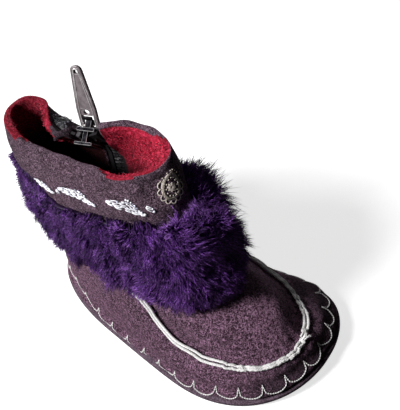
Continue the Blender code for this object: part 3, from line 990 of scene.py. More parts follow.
def strandPaths(line, side):
    # the plies of one cord, wound round a line that runs beside the seam
    found = [onSkin(place) for place in resample(line, pipingLook["step"])]
    spots = np.array([spot for spot, _ in found])
    normals = np.array([normal for _, normal in found])
    across = unit(np.cross(unit(np.gradient(spots, axis=0)), normals))
    run = runOf(spots)
    (slow, slowPace), (quick, quickPace) = pipingLook["sway"]
    wander = slow * np.sin(run / slowPace + side * 1.7) + quick * np.sin(run / quickPace)
    lift = pipingLook["lift"] + pipingLook["strand"]
    middle = spots + normals * lift + across * (side * pipingLook["apart"] + wander)[:, None]
    plies = []
    for ply in range(3):
        phase = 2 * math.pi * (run / pipingLook["twist"] + ply / 3)
        radius = pipingLook["strand"] - pipingLook["ply"]
        plies.append(
            middle
            + normals * (radius * np.sin(phase))[:, None]
            + across * (radius * np.cos(phase))[:, None]
        )
    return plies


def looseEnds(line, backwards, seed):
    # frayed ends where the two runs meet at the toe: they rise off the skin and curl
    own = np.random.default_rng(seed)
    line = resample(line[::-1] if backwards else line, pipingLook["step"])
    end = line[-1]
    ahead = line[-1] - line[-6]
    ahead /= np.linalg.norm(ahead)
    across = np.cross(ahead, np.array(onSkin(end)[1]))
    base, steps = pipingLook["lift"] + 0.55 * mm, 12
    ends = []
    for number in range(pipingLook["frays"]):
        lean = (number - (pipingLook["frays"] - 1) / 2) * 0.55 + own.normal(scale=0.15)
        reach = own.uniform(*pipingLook["frayLong"])
        rise = own.uniform(0.35, 1.0)
        path = []
        for step in range(steps + 1):
            part = step / steps
            drift = ahead * reach * part + across * (lean * mm * (0.3 + 1.6 * part**1.5))
            up = base + rise * 1.5 * mm * math.sin(part * math.pi * 0.62)
            place, way = onSkin(Vector(end + drift - ahead * 1.2 * mm))
            path.append(np.array(place) + np.array(way) * up)
        ends.append(path)
    return ends


for node, name, line in (
    ("piping_long", "pipingLongCord", longRun),
    ("piping_short", "pipingShortCord", shortRun),
):
    plies = strandPaths(line, -1) + strandPaths(line, 1)
    plies += looseEnds(line, name == "pipingShortCord", 7)
    cord = tubes(name, plies, pipingLook["ply"], "bootee", cotton, sides=1)
    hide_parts(node)
print("piping done")


furLook = {
    "core": 0.42,  # share of the band's depth filled by the dense core
    "coreTone": (0.15, 0.3, 0.0, 1.0),  # dark like the strands' roots: painted shade inside the pile
    "strands": 43000,
    "under": 26000,
    "underShare": 0.74,  # the short strands' length
    "thinnest": 2.0 * mm,  # no strands where the band is thinner
    "fringe": 5200,  # strands that come out from under the collar
    "fringeFrom": 61 * mm,
    "fringeDeep": 5.5 * mm,
    "zipGap": (-4 * mm, -26 * mm, 7 * mm),  # beyond this x, no fringe this near to the zip's y
    "locks": 1150,
    "pull": 0.5,  # how far a strand's tip goes to its lock's tip
    "curl": 1.25 * mm,
    "arch": 0.42,  # how far a strand bows out before its tip drops back
    "over": 0.9 * mm,  # extra length everywhere
    "puff": 4.2 * mm,  # and where the pile stands up beside the collar's inner front
    "lumps": (0.24, 13 * mm),  # the pile's length swells and sinks by this share, over this size
    # extra length along the lower edge, and the height over which it fades
    "hang": (1.8 * mm, 16 * mm),
    "lowerEdge": (36 * mm, 8 * mm),  # its height, and how much higher it is towards the heel
    # shorter pile over the toe on the inner side and at the heel on the outer side: by how
    # much, and where it starts and is full along and across the shoe
    "trims": (
        (2.4 * mm, (1, 26 * mm, 36 * mm), (0, 8 * mm, -6 * mm)),
        (2.0 * mm, (1, -16 * mm, -40 * mm), (0, 4 * mm, 14 * mm)),
    ),
    "radius": 0.165 * mm,
    "fall": 0.62,  # downward lean of the strands
    "sweep": (0.75, 17 * mm),  # how far they sway to the side, and over what size
    "stir": (0.45, 11 * mm),  # the same, up and down
}


def makeFurCore():
    mesh = subdivided(quadsOf("fur_band"), "furCore", 1)
    points = pointsOf(mesh)
    spots = np.array([skinTree.find_nearest(Vector(place))[0] for place in points])
    movePoints(mesh, spots + (points - spots) * furLook["core"])
    return mesh, np.linalg.norm(points - spots, axis=1)


coreMesh, coreDepths = makeFurCore()


def extruded(work, edges):  # the new vertices and edges
    made = bmesh.ops.extrude_edge_only(work, edges=edges)["geom"]
    verts = [part for part in made if isinstance(part, bmesh.types.BMVert)]
    return verts, [part for part in made if isinstance(part, bmesh.types.BMEdge)]


def strandTemplate():
    # a bent three-sided spike: x, y on the unit circle, z from root 0 to tip 1
    work = bmesh.new()
    bmesh.ops.create_circle(work, cap_ends=True, segments=3, radius=1.0)
    verts, edges = extruded(work, [edge for edge in work.edges if edge.is_boundary])
    bmesh.ops.translate(work, vec=(0, 0, 0.5), verts=verts)
    verts, _ = extruded(work, edges)
    bmesh.ops.pointmerge(work, verts=verts, merge_co=(0, 0, 1))
    bmesh.ops.recalc_face_normals(work, faces=work.faces)
    return meshOf(work, "strand")


def shortTemplate():
    work = bmesh.new()
    bmesh.ops.create_cone(work, cap_ends=True, segments=3, radius1=1.0, radius2=0.0, depth=1.0)
    bmesh.ops.translate(work, vec=(0, 0, 0.5), verts=work.verts)
    bmesh.ops.remove_doubles(work, verts=work.verts, dist=1e-4)
    bmesh.ops.recalc_face_normals(work, faces=work.faces)
    return meshOf(work, "shortStrand")


def growStrands(name, template, roots, middles, tips, radii, shades, body, material):
    # each strand bends from its root through its middle to its tip
    spots = pointsOf(template)
    forward = unit(tips - roots)
    helper = np.where(np.abs(forward[:, 2:3]) < 0.8, [[0, 0, 1.0]], [[1.0, 0, 0]])
    across = unit(np.cross(forward, helper))
    upward = np.cross(across, forward)
    along = spots[:, 2][None, :, None]
    path = (
        (1 - along) ** 2 * roots[:, None]
        + 2 * along * (1 - along) * middles[:, None]
        + along**2 * tips[:, None]
    )
    width = radii[:, None, None] * (1 - 0.35 * along)
    places = path + width * (
        spots[None, :, 0:1] * across[:, None] + spots[None, :, 1:2] * upward[:, None]
    )
    tones = np.zeros((len(roots), len(spots), 3))
    tones[:, :, 0] = spots[:, 2]
    tones[:, :, 1] = shades[:, None]
    return meshFromArrays(name, places, cornersOf(template), body, material, tones)


def scatter(mesh, count, usable, seed):
    # random places on the mesh's faces: positions, normals, and the vertices round each with
    # their weights
    corners = cornersOf(mesh)
    corners = corners[usable[corners].all(1)]
    points = pointsOf(mesh)
    a, b, c = points[corners[:, 0]], points[corners[:, 1]], points[corners[:, 2]]
    cross = np.cross(b - a, c - a)
    area = np.linalg.norm(cross, axis=1)
    picks = np.random.default_rng(seed)
    chosen = picks.choice(len(corners), count, p=area / area.sum())
    first, second = picks.random(count), picks.random(count)
    flip = first + second > 1
    first[flip], second[flip] = 1 - first[flip], 1 - second[flip]
    places = a[chosen] + first[:, None] * (b - a)[chosen] + second[:, None] * (c - a)[chosen]
    normals = cross[chosen] / area[chosen, None]
    weights = np.stack([1 - first - second, first, second], 1)
    return places, normals, corners[chosen], weights


def combed(places, normals):
    # direction of the hair at each place: out, down and swept to and fro
    down = np.array([0, 0, -1.0]) + normals * normals[:, 2:3]
    down /= np.maximum(np.linalg.norm(down, axis=1, keepdims=True), 1e-6)
    side = np.cross(normals, down)
    fall = furLook["fall"] * (0.55 + 0.8 * ease(72 * mm - places[:, 2], 0, 26 * mm))[:, None]
    fall = fall - puffed(places)[:, None]
    share, size = furLook["sweep"]
    sweep = ripple(places, size, 31)[:, None] * share
    share, size = furLook["stir"]
    stir = ripple(places, size, 33)[:, None] * share
    return unit(normals + down * (fall + stir) + side * sweep)


def puffed(places):  # 1 where the pile stands up: at the top, on the inner side and in front
    turned = -0.57 * places[:, 0] + 0.80 * places[:, 1]
    return ease(turned, 5 * mm, 15 * mm) * ease(places[:, 2], 50 * mm, 62 * mm)


def extraReach(places):
    height, rise = furLook["lowerEdge"]
    low = height + rise * ease(places[:, 1], 0, -40 * mm)
    extra, above = furLook["hang"]
    hang = extra * (1 - ease(places[:, 2], low, low + above))
    hang *= 1 - 0.9 * ease(places[:, 1], 24 * mm, 34 * mm)
    total = furLook["over"] + hang + furLook["puff"] * puffed(places)
    for trim, *bounds in furLook["trims"]:
        for axis, start, full in bounds:
            trim = trim * ease(places[:, axis], start, full)
        total -= trim
    return total


def lumpy(places):
    share, size = furLook["lumps"]
    return 1 + share * ripple(places, size, 37)


def makeFur():
    usable = coreDepths > furLook["thinnest"]
    thin = 1.0
    outer = 1 - furLook["core"]
    places, normals, corners, weights = scatter(coreMesh, furLook["locks"], usable, 41)
    deep = (coreDepths[corners] * weights).sum(1)
    picks = np.random.default_rng(43)
    way = combed(places, normals) + picks.normal(scale=0.40, size=(len(places), 3))
    reach = deep * outer * picks.uniform(0.8, 1.1, len(places)) + extraReach(places)
    reach *= lumpy(places)
    lockTips = places + way * reach[:, None]
    lockShade = picks.random(len(places))
    lockBend = picks.normal(scale=furLook["curl"], size=(len(places), 3))
    tree = KDTree(len(places))
    for index, place in enumerate(places):
        tree.insert(place, index)
    tree.balance()

    def plant(name, roots, normals, deep, seed, long):
        own = np.random.default_rng(seed)
        count = len(roots)
        way = combed(roots, normals) + own.normal(scale=0.26, size=(count, 3))
        reach = deep * outer * own.uniform(0.7, 1.0, count) + extraReach(roots)
        reach *= lumpy(roots)
        if not long:
            reach *= furLook["underShare"]
        tips = roots + way * reach[:, None]
        near = np.array([tree.find(root)[1] for root in roots])
        pull = furLook["pull"] * own.uniform(0.35, 1.0, count)[:, None]
        if long:
            tips = tips * (1 - pull) + lockTips[near] * pull
        bend = own.normal(scale=furLook["curl"] * 0.7, size=(count, 3)) + lockBend[near]
        middles = (roots + tips) / 2 + normals * (reach * furLook["arch"])[:, None] + bend
        shades = np.clip(0.5 * lockShade[near] + 0.5 * own.random(count), 0, 1)
        radii = furLook["radius"] * own.uniform(0.7, 1.25, count) * (1.0 if long else 1.25)
        template = strandTemplate() if long else shortTemplate()
        turn = np.arctan2(roots[:, 1] + 20 * mm, roots[:, 0])
        pieces = []
        for part, (low, high) in enumerate(((-4, -0.8), (-0.8, 0.8), (0.8, 2.2), (2.2, 4))):
            chosen = (turn >= low) & (turn < high)
            if chosen.any():
                pieces.append(
                    growStrands(
                        f"{name}{part + 1}",
                        template,
                        (roots - normals * 0.3 * mm)[chosen],
                        middles[chosen],
                        tips[chosen],
                        radii[chosen],
                        shades[chosen],
                        "bootee",
                        furPile,
                    )
                )
        return pieces

    pieces = []
    for name, count, seed, long in (
        ("furStrands", furLook["strands"], 51, True),
        ("furUnder", furLook["under"], 61, False),
    ):
        roots, normals, corners, weights = scatter(coreMesh, int(count * thin), usable, seed)
        deep = (coreDepths[corners] * weights).sum(1)
        pieces += plant(name, roots, normals, deep, seed + 1, long)
    points = pointsOf(skinMesh)
    low, high = furLook["fringeFrom"], hemHeight(points) - 0.4 * mm
    zone = skinOutside & (points[:, 2] > low) & (points[:, 2] < high)
    beyond, middle, half = furLook["zipGap"]
    zipFree = (points[:, 0] > beyond) | (np.abs(points[:, 1] - middle) > half)
    roots, normals, _, _ = scatter(skinMesh, int(furLook["fringe"] * thin), zone & zipFree, 65)
    deep = np.full(len(roots), furLook["fringeDeep"])
    return pieces + plant("furFringe", roots, normals, deep, 66, True)


coreLayer = coreMesh.attributes.new("tone", "FLOAT_COLOR", "POINT")
coreTone = np.tile(furLook["coreTone"], (len(coreMesh.vertices), 1)).astype(np.float32)
coreLayer.data.foreach_set("color", coreTone.ravel())
coreMesh.shade_smooth()
furCore = addPiece("furCore", coreMesh, "bootee", furPile)
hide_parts("fur_band")
for tuft in makeFur():
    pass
print("fur done")


fleeceLook = {
    "strands": 24000,
    "long": (0.35 * mm, 0.75 * mm),
    "thick": (0.13 * mm, 0.24 * mm),
    "clear": 1.6 * mm,  # from the felt's edge
    "from": 50 * mm,  # the lowest pile, as none is seen further down
}


def makeFleece():
    points = pointsOf(skinMesh)
    lining = np.zeros(len(points), bool)
    other = np.zeros(len(points), bool)
    for polygon in skinMesh.polygons:
        (lining if polygon.material_index == 2 else other)[list(polygon.vertices)] = True
    usable = lining & (distanceTo(points, points[lining & other]) > fleeceLook["clear"])
    usable &= points[:, 2] > fleeceLook["from"]
    count = fleeceLook["strands"] // 1
    places, normals, _, _ = scatter(skinMesh, count, usable, 71)
    own = np.random.default_rng(72)
    reach = own.uniform(*fleeceLook["long"], len(places))
    way = normals * 0.7 + own.normal(scale=0.7, size=(len(places), 3))
    tips = places + way * reach[:, None]
    bend = own.normal(scale=0.2 * mm, size=(len(places), 3))
    middles = (places + tips) / 2 + normals * (0.25 * mm) + bend
    radii = own.uniform(*fleeceLook["thick"], len(places))
    return growStrands(
        "fleecePile",
        shortTemplate(),
        places - normals * 0.2 * mm,
        middles,
        tips,
        radii,
        own.random(len(places)),
        "bootee",
        fleecePile,
    )


makeFleece()
print("fleece done")


medallionLook = {
    "ring": (3.0 * mm, 4.1 * mm),  # half width and half height of the teardrop ring
    "band": 0.95 * mm,
    "thread": 0.16 * mm,
    "lift": 0.24 * mm,
    "castFrom": 9 * mm,  # the places on the skin are found from this far outside
    "petals": 8,
    "dots": 12,
    "lace": (8, 70, 220),  # looped lace round the foot: loops, where it starts and its degrees
    "knots": (66, 49, 32, 15, -2, -19, -36, -70, -58),  # up the side and over the tip, in degrees
}


class Patch:
    # a flat drawing laid on the skin: u runs across, v runs up, in metres
    def __init__(self, centre, up):
        self.centre, self.normal = onSkin(Vector(centre) * mm)
        self.up = Vector(up) - self.normal * Vector(up).dot(self.normal)
        self.up.normalize()
        self.across = self.up.cross(self.normal)

    def at(self, u, v, lift):
        spot = self.centre + self.across * u + self.up * v
        start = spot + self.normal * medallionLook["castFrom"]
        hit, normal = castIn(skinTree, start, -self.normal)
        if hit is None:
            hit, normal = onSkin(spot)
        return hit + normal * lift


def dropOutline(turn, half, tall):  # pointed at the top, round below
    return half * math.sin(turn), tall * math.cos(turn) * (1.12 if math.cos(turn) > 0 else 0.95)


def makeMedallion(name, patch, scale=1.0):
    look = medallionLook
    half, tall = (value * scale for value in look["ring"])
    size = mm * scale
    lines = []

    def draw(places, lift=look["lift"]):
        lines.append([patch.at(u, v, lift) for u, v in places])

    def outline(turn, grow):
        u, v = dropOutline(turn, half + grow, tall + grow)
        pinch = 1 - 0.35 * max(0.0, math.cos(turn)) ** 3
        return u * pinch, v

    def cross(turn, grow, tick, lift=look["lift"]):  # a small knot on the outline
        u, v = outline(turn, grow)
        draw([(u - tick, v), (u + tick, v), (u, v + tick), (u, v - tick)], lift)

    count = 192
    satin = []
    for step in range(count):  # satin stitch: to and fro across the ring
        turn = 2 * math.pi * step / count
        satin.append(outline(turn, look["band"] / 2 * (1 if step % 2 else -1)))
    draw(satin + satin[:1])
    for share in (-0.42, 0.0, 0.42):
        grow = look["band"] * share
        draw([outline(2 * math.pi * step / 60, grow) for step in range(61)], look["lift"] * 0.5)
    for petal in range(look["petals"]):
        turn = 2 * math.pi * petal / look["petals"]
        way = (math.sin(turn), math.cos(turn))
        side = (way[1], -way[0])
        loop = []
        for step in range(13):
            part = 2 * math.pi * step / 12
            far = (0.95 - 0.55 * math.cos(part)) * size
            wide = 0.30 * size * math.sin(part)
            loop.append((way[0] * far + side[0] * wide, way[1] * far + side[1] * wide))
        draw(loop)
        draw([(way[0] * far, way[1] * far) for far in (0.2 * mm, 1.3 * size)])
    for dot in range(look["dots"]):
        cross(2 * math.pi * (dot + 0.5) / look["dots"], -1.05 * size, 0.22 * mm)
    loops, first, span = look["lace"]
    for bump in range(loops):
        middle = math.radians(first + span * (bump + 0.5) / loops)
        halfTurn = math.radians(span / loops) * 0.56
        loop = []
        for step in range(15):
            part = step / 14
            turn = middle + (part - 0.5) * 2 * halfTurn
            loop.append(outline(turn, (0.55 + 1.25 * math.sin(math.pi * part) ** 0.8) * size))
        draw(loop)
        draw([(u * 0.985, v * 0.985) for u, v in loop])
    for knot in look["knots"]:
        cross(math.radians(knot), 1.15 * size, 0.2 * mm, look["lift"] * 1.3)
    tubes(name, lines, look["thread"], "bootee", embroidery, sides=0)


makeMedallion("medallionFront", Patch((-1.2, 15.7, 78.9), (-0.55, -0.05, 0.83)))
makeMedallion("medallionInner", Patch((-13.5, -4.0, 76.5), (0.1, 0.25, 0.96)), 0.95)
print("medallions done")


leafLook = {
    "thread": 0.21 * mm,
    "stitch": 2.4 * mm,  # length of one long stitch
    "stitchPoints": 6,
    "rowsApart": 0.52 * mm,
    "sequin": 0.46 * mm,
    "lift": 0.28 * mm,
    "tilt": 0.45,  # how unevenly the sequins sit
}


def sequinTemplate():
    # a small faceted cup: rim, raised middle
    work = bmesh.new()
    bmesh.ops.create_circle(work, cap_ends=True, segments=7, radius=1.0)
    bmesh.ops.inset_region(work, faces=work.faces[:], thickness=0.45, depth=0.16)
    verts, edges = extruded(work, [edge for edge in work.edges if edge.is_boundary])
    bmesh.ops.translate(work, vec=(0, 0, -0.22), verts=verts)
    bmesh.ops.contextual_create(work, geom=edges)
    bmesh.ops.recalc_face_normals(work, faces=work.faces)
    return meshOf(work, "sequin")


def leafPoint(axis, part, offset):
    # place on the skin at a share of the leaf's length and an offset to one side
    spot, normal = onSkin(between(part * (len(axis) - 1), np.arange(len(axis)), axis))
    side = normal.cross(Vector(axis[-1] - axis[0])).normalized()
    return onSkin(spot + side * offset)


def makeLeaf(name, axisPoints, wide, beads, seed):
    # long stitches packed into a pointed leaf, with a row of small sequins along one edge
    axis = np.array(axisPoints) * mm
    long = np.linalg.norm(axis[-1] - axis[0])
    own = np.random.default_rng(seed)
    lines, frames = [], []

    def halfAt(part):
        return wide / 2 * math.sin(math.pi * min(max(part, 0.0), 1.0) ** 0.9) ** 0.8 + 0.1 * mm

    rows = max(3, int(round(wide / leafLook["rowsApart"])))
    for row in range(rows):
        level = -0.75 + 1.7 * row / (rows - 1)
        part = own.uniform(-0.1, 0.05)
        while part < 0.97:
            reach = leafLook["stitch"] * own.uniform(0.7, 1.3) / long
            start, end = max(part, 0.01), min(part + reach, 0.99)
            if end - start > 0.05:
                tilt = own.uniform(-0.3, 0.3) * mm
                stitch = []
                for share in np.linspace(0, 1, leafLook["stitchPoints"]):
                    here = start + (end - start) * share
                    offset = halfAt(here) * level + tilt * (share - 0.5)
                    spot, normal = leafPoint(axis, here, offset)
                    hump = math.sin(math.pi * share) ** 0.5
                    stitch.append(spot + normal * (leafLook["lift"] * hump + 0.02 * mm))
                lines.append(stitch)
            part += reach + own.uniform(0.0, 1.1) * mm / long
    threads = tubes(name + "Threads", lines, leafLook["thread"], "bootee", silverThread, sides=1)
    for level, begin, finish, count in beads:
        for step in range(count):
            part = begin + (finish - begin) * (step + 0.5 + own.uniform(-0.15, 0.15)) / count
            spot, normal = leafPoint(axis, part, halfAt(part) * level)
            tilt = normal + Vector(own.normal(scale=leafLook["tilt"], size=3))
            turn = tilt.to_track_quat("Z", "Y").to_matrix().to_4x4()
            size = leafLook["sequin"] * own.uniform(0.75, 1.15)
            place = Matrix.Translation(spot + normal * (leafLook["lift"] + 0.15 * mm))
            frames.append(place @ turn @ Matrix.Scale(size, 4))
    sequins = joinedCopies(name + "Sequins", sequinTemplate(), frames, "bootee", sequinFoil)


def makeFoil():
    material, tree, shader = newMaterial("sequinFoil", 0.22, metallic=0.35, coat=0.6)
    glint = noise(tree, Scale=900.0, Detail=1.0).outputs["Fac"]
    colour = blend(tree, spread(tree, glint, 0.35, 0.65), (0.62, 0.60, 0.78), (0.98, 0.98, 1.0))
    tree.links.new(colour, shader.inputs["Base Color"])
    tree.links.new(spread(tree, glint, 0.3, 0.7, 0.15, 0.4), shader.inputs["Roughness"])
    return material


sequinFoil = makeFoil()
sequinRows = {
    # how far across the leaf in half widths, from and to along it, and how many
    "few": ((1.2, 0.3, 1.0, 6),),
    "pair": ((0.0, 0.2, 0.8, 2),),
    "one": ((0.9, 0.4, 1.0, 1),),
    "lowerEdge": ((1.5, 0.42, 1.0, 9), (0.9, 0.05, 0.5, 3)),
    "rim": ((1.45, 0.08, 0.95, 15), (-1.3, 0.08, 0.95, 14), (0.1, 0.3, 0.8, 5)),
}
leaves = {
    # points along the leaf on the collar and its width, in mm, and the rows of its sequins
    "leafRear": ((14.2, -38.5, 75.2), (14.4, -33.0, 74.3), (14.6, -27.6, 72.6), 2.6, "few"),
    "leafLink": ((14.3, -26.3, 74.9), (14.2, -25.4, 74.2), (14.1, -24.6, 73.5), 1.2, "pair"),
    "leafMiddle": ((14.0, -25.2, 76.1), (13.3, -15.5, 75.6), (13.2, -7.2, 74.1), 3.1, "lowerEdge"),
    "leafFront": ((11.8, -2.8, 77.3), (10.4, 4.5, 75.9), (8.3, 10.8, 73.0), 3.1, "lowerEdge"),
    "leafSmall": ((7.6, 11.0, 76.1), (7.0, 12.1, 75.0), (6.4, 13.1, 73.8), 1.3, "one"),
    "leafInnerRear": ((-5.6, -38.6, 82.6), (-9.0, -44.6, 82.0), (-14.8, -46.5, 76.5), 3.8, "rim"),
    "leafHeel": ((-5.0, -61.0, 85.0), (-5.4, -61.5, 80.5), (-5.6, -61.0, 76.0), 3.4, "rim"),
}
for number, (name, (*axisPoints, wide, beads)) in enumerate(leaves.items()):
    makeLeaf(name, axisPoints, wide * mm, sequinRows[beads], 90 + number)
print("leaves done")


zipLook = {
    "edge": 0.2 * mm,  # faces narrower than this get the bright edge finish: painted highlights, on the tab also worn metal
    "rim": (0.9 * mm, 0.15 * mm),  # the tab's raised border: distance from its edge, and radius
    "rimMin": 12 * mm,  # shorter openings have no border
    "rimStep": 0.7 * mm,
    "tooth": (2.1 * mm, 2.7 * mm, 0.86 * mm),  # through the tape, across it and along it
    "toothRounding": 0.2 * mm,
    "toothPitch": 0.92 * mm,
    "toothOff": (0.95 * mm, 1.1 * mm),  # how far it stands to one side, closed and open
    "openTeeth": 6,  # on each tape above the slider
    "openFrom": 79 * mm,
    "backing": 0.45,  # share by which the closed chain is flattened behind its teeth
    "bevel": 0.17 * mm,  # on the slider's edges
    "hinge": (-9.553 * mm, -26.58 * mm, 85.002 * mm),  # where the tab turns on the bail
    "hingeAxis": (0.24349, -0.969904, 0.0),
    "bailTop": (3.7 * mm, 0.9 * mm, 1.4 * mm),  # the bar across the bail, along the hinge first
    "bailRounding": 0.18 * mm,
    "bailRise": 3.65 * mm,  # from the hinge up to the bar's middle
    "tabSpread": 1.2,  # how much wider the flared tab is than its plain solid
    # the tab's web, in mm in the tab's own plane: its lowest reach above the hinge, its hole,
    # its thickness, the hole's height, half its width and how far it rises above the hole
    "web": (4.7, 1.05, 1.1, 6.05, 2.45, 2.1),
    "webSteps": 24,
}


def placedAt(spot, first, second, third):  # a move to spot, with the three axes turned
    return Matrix.Translation(spot) @ Matrix([first, second, third]).transposed().to_4x4()


def metalPiece(node, name, body, finish, edgeFinish, bevelled=False):
    # the CAD solid's own shape, its narrow bevels given the bright edge finish: painted
    # highlights, on the tab also worn metal
    work = quadsOf(node)
    work.normal_update()
    if bevelled:
        bmesh.ops.bevel(
            work,
            geom=[edge for edge in work.edges if edge.calc_face_angle(0.0) > 0.5],
            offset=zipLook["bevel"],
            segments=1,
            profile=0.5,
            affect="EDGES",
            material=-1,
            clamp_overlap=True,
        )
    for face in work.faces:
        longest = max(edge.calc_length() for edge in face.edges)
        if face.calc_area() < zipLook["edge"] * longest:
            face.material_index = 1
    piece = addPiece(name, meshOf(work, name), body, finish, edgeFinish)
    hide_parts(node)


def makeTabRims():  # a raised border just inside the outline of both flat faces of the tab
    work = quadsOf("pull_tab")
    work.normal_update()
    flat = max(work.faces, key=lambda face: face.calc_area()).normal.copy()
    inset, radius = zipLook["rim"]
    lines = []
    for side in (1, -1):
        chosen = {face for face in work.faces if face.normal.dot(flat) * side > 0.995}
        rim = [edge for edge in work.edges if len(chosen & set(edge.link_faces)) == 1]
        for loop in loopsOf(rim):
            heights = [vert.co.z for vert in loop]
            if max(heights) - min(heights) < zipLook["rimMin"]:
                continue
            places = resample([vert.co for vert in loop + loop[:1]], zipLook["rimStep"])[:-1]
            middle = places.mean(0)
            along = np.roll(places, -1, 0) - np.roll(places, 1, 0)
            inward = unit(np.cross(along, np.array(flat)))
            if ((middle - places) * inward).sum() < 0:
                inward = -inward
            lines.append(places + inward * inset + np.array(flat) * side * 0.03 * mm)
    work.free()
    rims = tubes("pullTabRims", lines, radius, "pull", wornGlintEdge, closed=True)


def spreadTab(piece):  # widens a piece of the tab along its hinge
    hinge, across = Vector(zipLook["hinge"]), Vector(zipLook["hingeAxis"])
    for vert in piece.data.vertices:
        vert.co += across * (vert.co - hinge).dot(across) * (zipLook["tabSpread"] - 1)


def makeBailTop():  # a thicker top for the slider's bail, still clear of the turning tab
    mesh = roundedBlock("zipBailTop", zipLook["bailTop"], zipLook["bailRounding"])
    across = Vector(zipLook["hingeAxis"])
    spot = Vector(zipLook["hinge"]) + Vector((0, 0, zipLook["bailRise"]))
    mesh.transform(placedAt(spot, across, Vector((0, 0, 1)).cross(across), (0, 0, 1)))
    addPiece("zipBailTop", mesh, "bootee", sliderMetal)


def makeTabWeb():  # fills the top of the tab's lower opening round a small eyelet
    points = pointsOf(frame["nodes"]["pull_tab"].data)
    hinge, across = Vector(zipLook["hinge"]), Vector(zipLook["hingeAxis"])
    top = Vector(points[points[:, 2] > 104 * mm].mean(0)) - hinge
    up = (top - across * top.dot(across)).normalized()
    out = across.cross(up)
    low, hole, thick, height, wide, roof = zipLook["web"]
    steps = zipLook["webSteps"]
    work = bmesh.new()
    rings = []
    for side in (-0.5, 0.5):
        for edge in (False, True):
            ring = []
            for step in range(steps):
                turn = 2 * math.pi * (step + 0.5) / steps
                right, rise = math.cos(turn), math.sin(turn)
                far = min(wide / abs(right), (roof if rise > 0 else height - low) / abs(rise))
                reach = far if edge else hole
                flat = across * right * reach + up * (height + rise * reach) + out * side * thick
                ring.append(work.verts.new(hinge + flat * mm))
            rings.append(ring)
    backHole, backEdge, frontHole, frontEdge = rings
    for step in range(steps):
        after = (step + 1) % steps
        for first, second in (
            (backHole, backEdge),
            (backEdge, frontEdge),
            (frontEdge, frontHole),
            (frontHole, backHole),
        ):
            work.faces.new((first[step], second[step], second[after], first[after]))
    bmesh.ops.recalc_face_normals(work, faces=work.faces)
    web = addPiece("pullTabWeb", meshOf(work, "pullTabWeb"), "pull", tabMetal)


def loopsOf(edges):  # closed runs of vertices along a set of edges
    joined = {}
    for edge in edges:
        for vert in edge.verts:
            joined.setdefault(vert, []).append(edge.other_vert(vert))
    loops = []
    while joined:
        run = [next(iter(joined))]
        while True:
            after = [vert for vert in joined.pop(run[-1]) if vert in joined and vert not in run]
            if not after:
                break
            run.append(after[0])
        loops.append(run)
    return loops


metalPiece("pull_tab", "pullTabMetal", "pull", tabMetal, wornGlintEdge)
metalPiece("zip_slider", "zipSliderMetal", "bootee", sliderMetal, sliderGlintEdge, bevelled=True)
makeTabRims()
makeTabWeb()
makeBailTop()
for name in ("pullTabMetal", "pullTabRims", "pullTabWeb"):
    spreadTab(bpy.data.objects[name])
print("slider and pull tab done")


def chainRows():
    # the closed zip's middle line, and the direction out of the shoe at each of its places
    places = pointsOf(frame["nodes"]["zip_chain"].data)
    places = np.unique(places.round(7), axis=0)
    places = places[np.argsort(places[:, 2])]
    middles, outs = [], []
    for start in range(0, len(places), 4):
        four = places[start : start + 4]
        four = four[np.argsort(four[:, 0])]
        middles.append(four.mean(0))
        outs.append(four[:2].mean(0) - four[2:].mean(0))
    return np.array(middles), np.array(outs)


def makeTeeth():
    middles, outs = chainRows()
    line = resample(middles, zipLook["toothPitch"])
    closedOff, openOff = zipLook["toothOff"]
    frames = []
    for number in range(1, len(line)):
        here = line[number]
        out = Vector(between(here[2], middles[:, 2], outs))
        up = Vector(line[min(number + 1, len(line) - 1)] - line[number - 1]).normalized()
        across = up.cross(out).normalized()
        spot = Vector(here) + across * closedOff * (1 if number % 2 else -1)
        frames.append(placedAt(spot, across.cross(up).normalized(), across, up))
    for node, side in (("zip_tape_front", 1), ("zip_tape_back", -1)):
        places = pointsOf(frame["nodes"][node].data)
        top = places[places[:, 2] > zipLook["openFrom"]]
        order = top[np.argsort(top[:, 2])]
        low, high = order[:4].mean(0), order[-4:].mean(0)
        up = Vector(high - low).normalized()
        across = (Vector((0, 1, 0)) - up * up.y).normalized()
        out = across.cross(up).normalized()
        for number in range(zipLook["openTeeth"]):
            here = Vector(low + (high - low) * (number + 0.3) / zipLook["openTeeth"])
            place = placedAt(here - across * side * openOff, out, across, up)
            frames.append(place @ Matrix.Scale(0.7, 4, (0, 1, 0)))
    tooth = roundedBlock("tooth", zipLook["tooth"], zipLook["toothRounding"])
    teeth = joinedCopies("zipTeeth", tooth, frames, "bootee", teethMetal)
    teeth.data.shade_flat()
    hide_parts("zip_chain")
    work = quadsOf("zip_chain")
    for vert in work.verts:
        row = Vector(between(vert.co.z, middles[:, 2], middles))
        out = Vector(between(vert.co.z, middles[:, 2], outs)).normalized()
        vert.co -= out * (vert.co - row).dot(out) * zipLook["backing"]
    backing = addPiece("zipBacking", meshOf(work, "zipBacking"), "bootee", tapeCloth)


makeTeeth()
finishSheet("zip_tape_front", "zipTapeFront", tapeCloth, 0)
finishSheet("zip_tape_back", "zipTapeBack", tapeCloth, 0)
print("zip done")


viewFrame = {
    # the camera's place and its three axes
    "place": (105.62 * mm, 143.66 * mm, 238.10 * mm),
    "right": (-0.56938, 0.79789, -0.19793),
    "up": (-0.67400, -0.31524, 0.66809),
    "back": (0.47067, 0.51380, 0.71727),
    "lens": 61.72,
}


def makeCamera():
    data = bpy.data.cameras.new("camera")
    data.lens = viewFrame["lens"]
    data.sensor_width = 36
    data.sensor_fit = "HORIZONTAL"
    data.clip_start = 0.01
    camera = bpy.data.objects.new("camera", data)
    bpy.context.scene.collection.objects.link(camera)
    axes = (viewFrame["right"], viewFrame["up"], viewFrame["back"])
    camera.matrix_world = placedAt(viewFrame["place"], *axes)
    bpy.context.scene.camera = camera


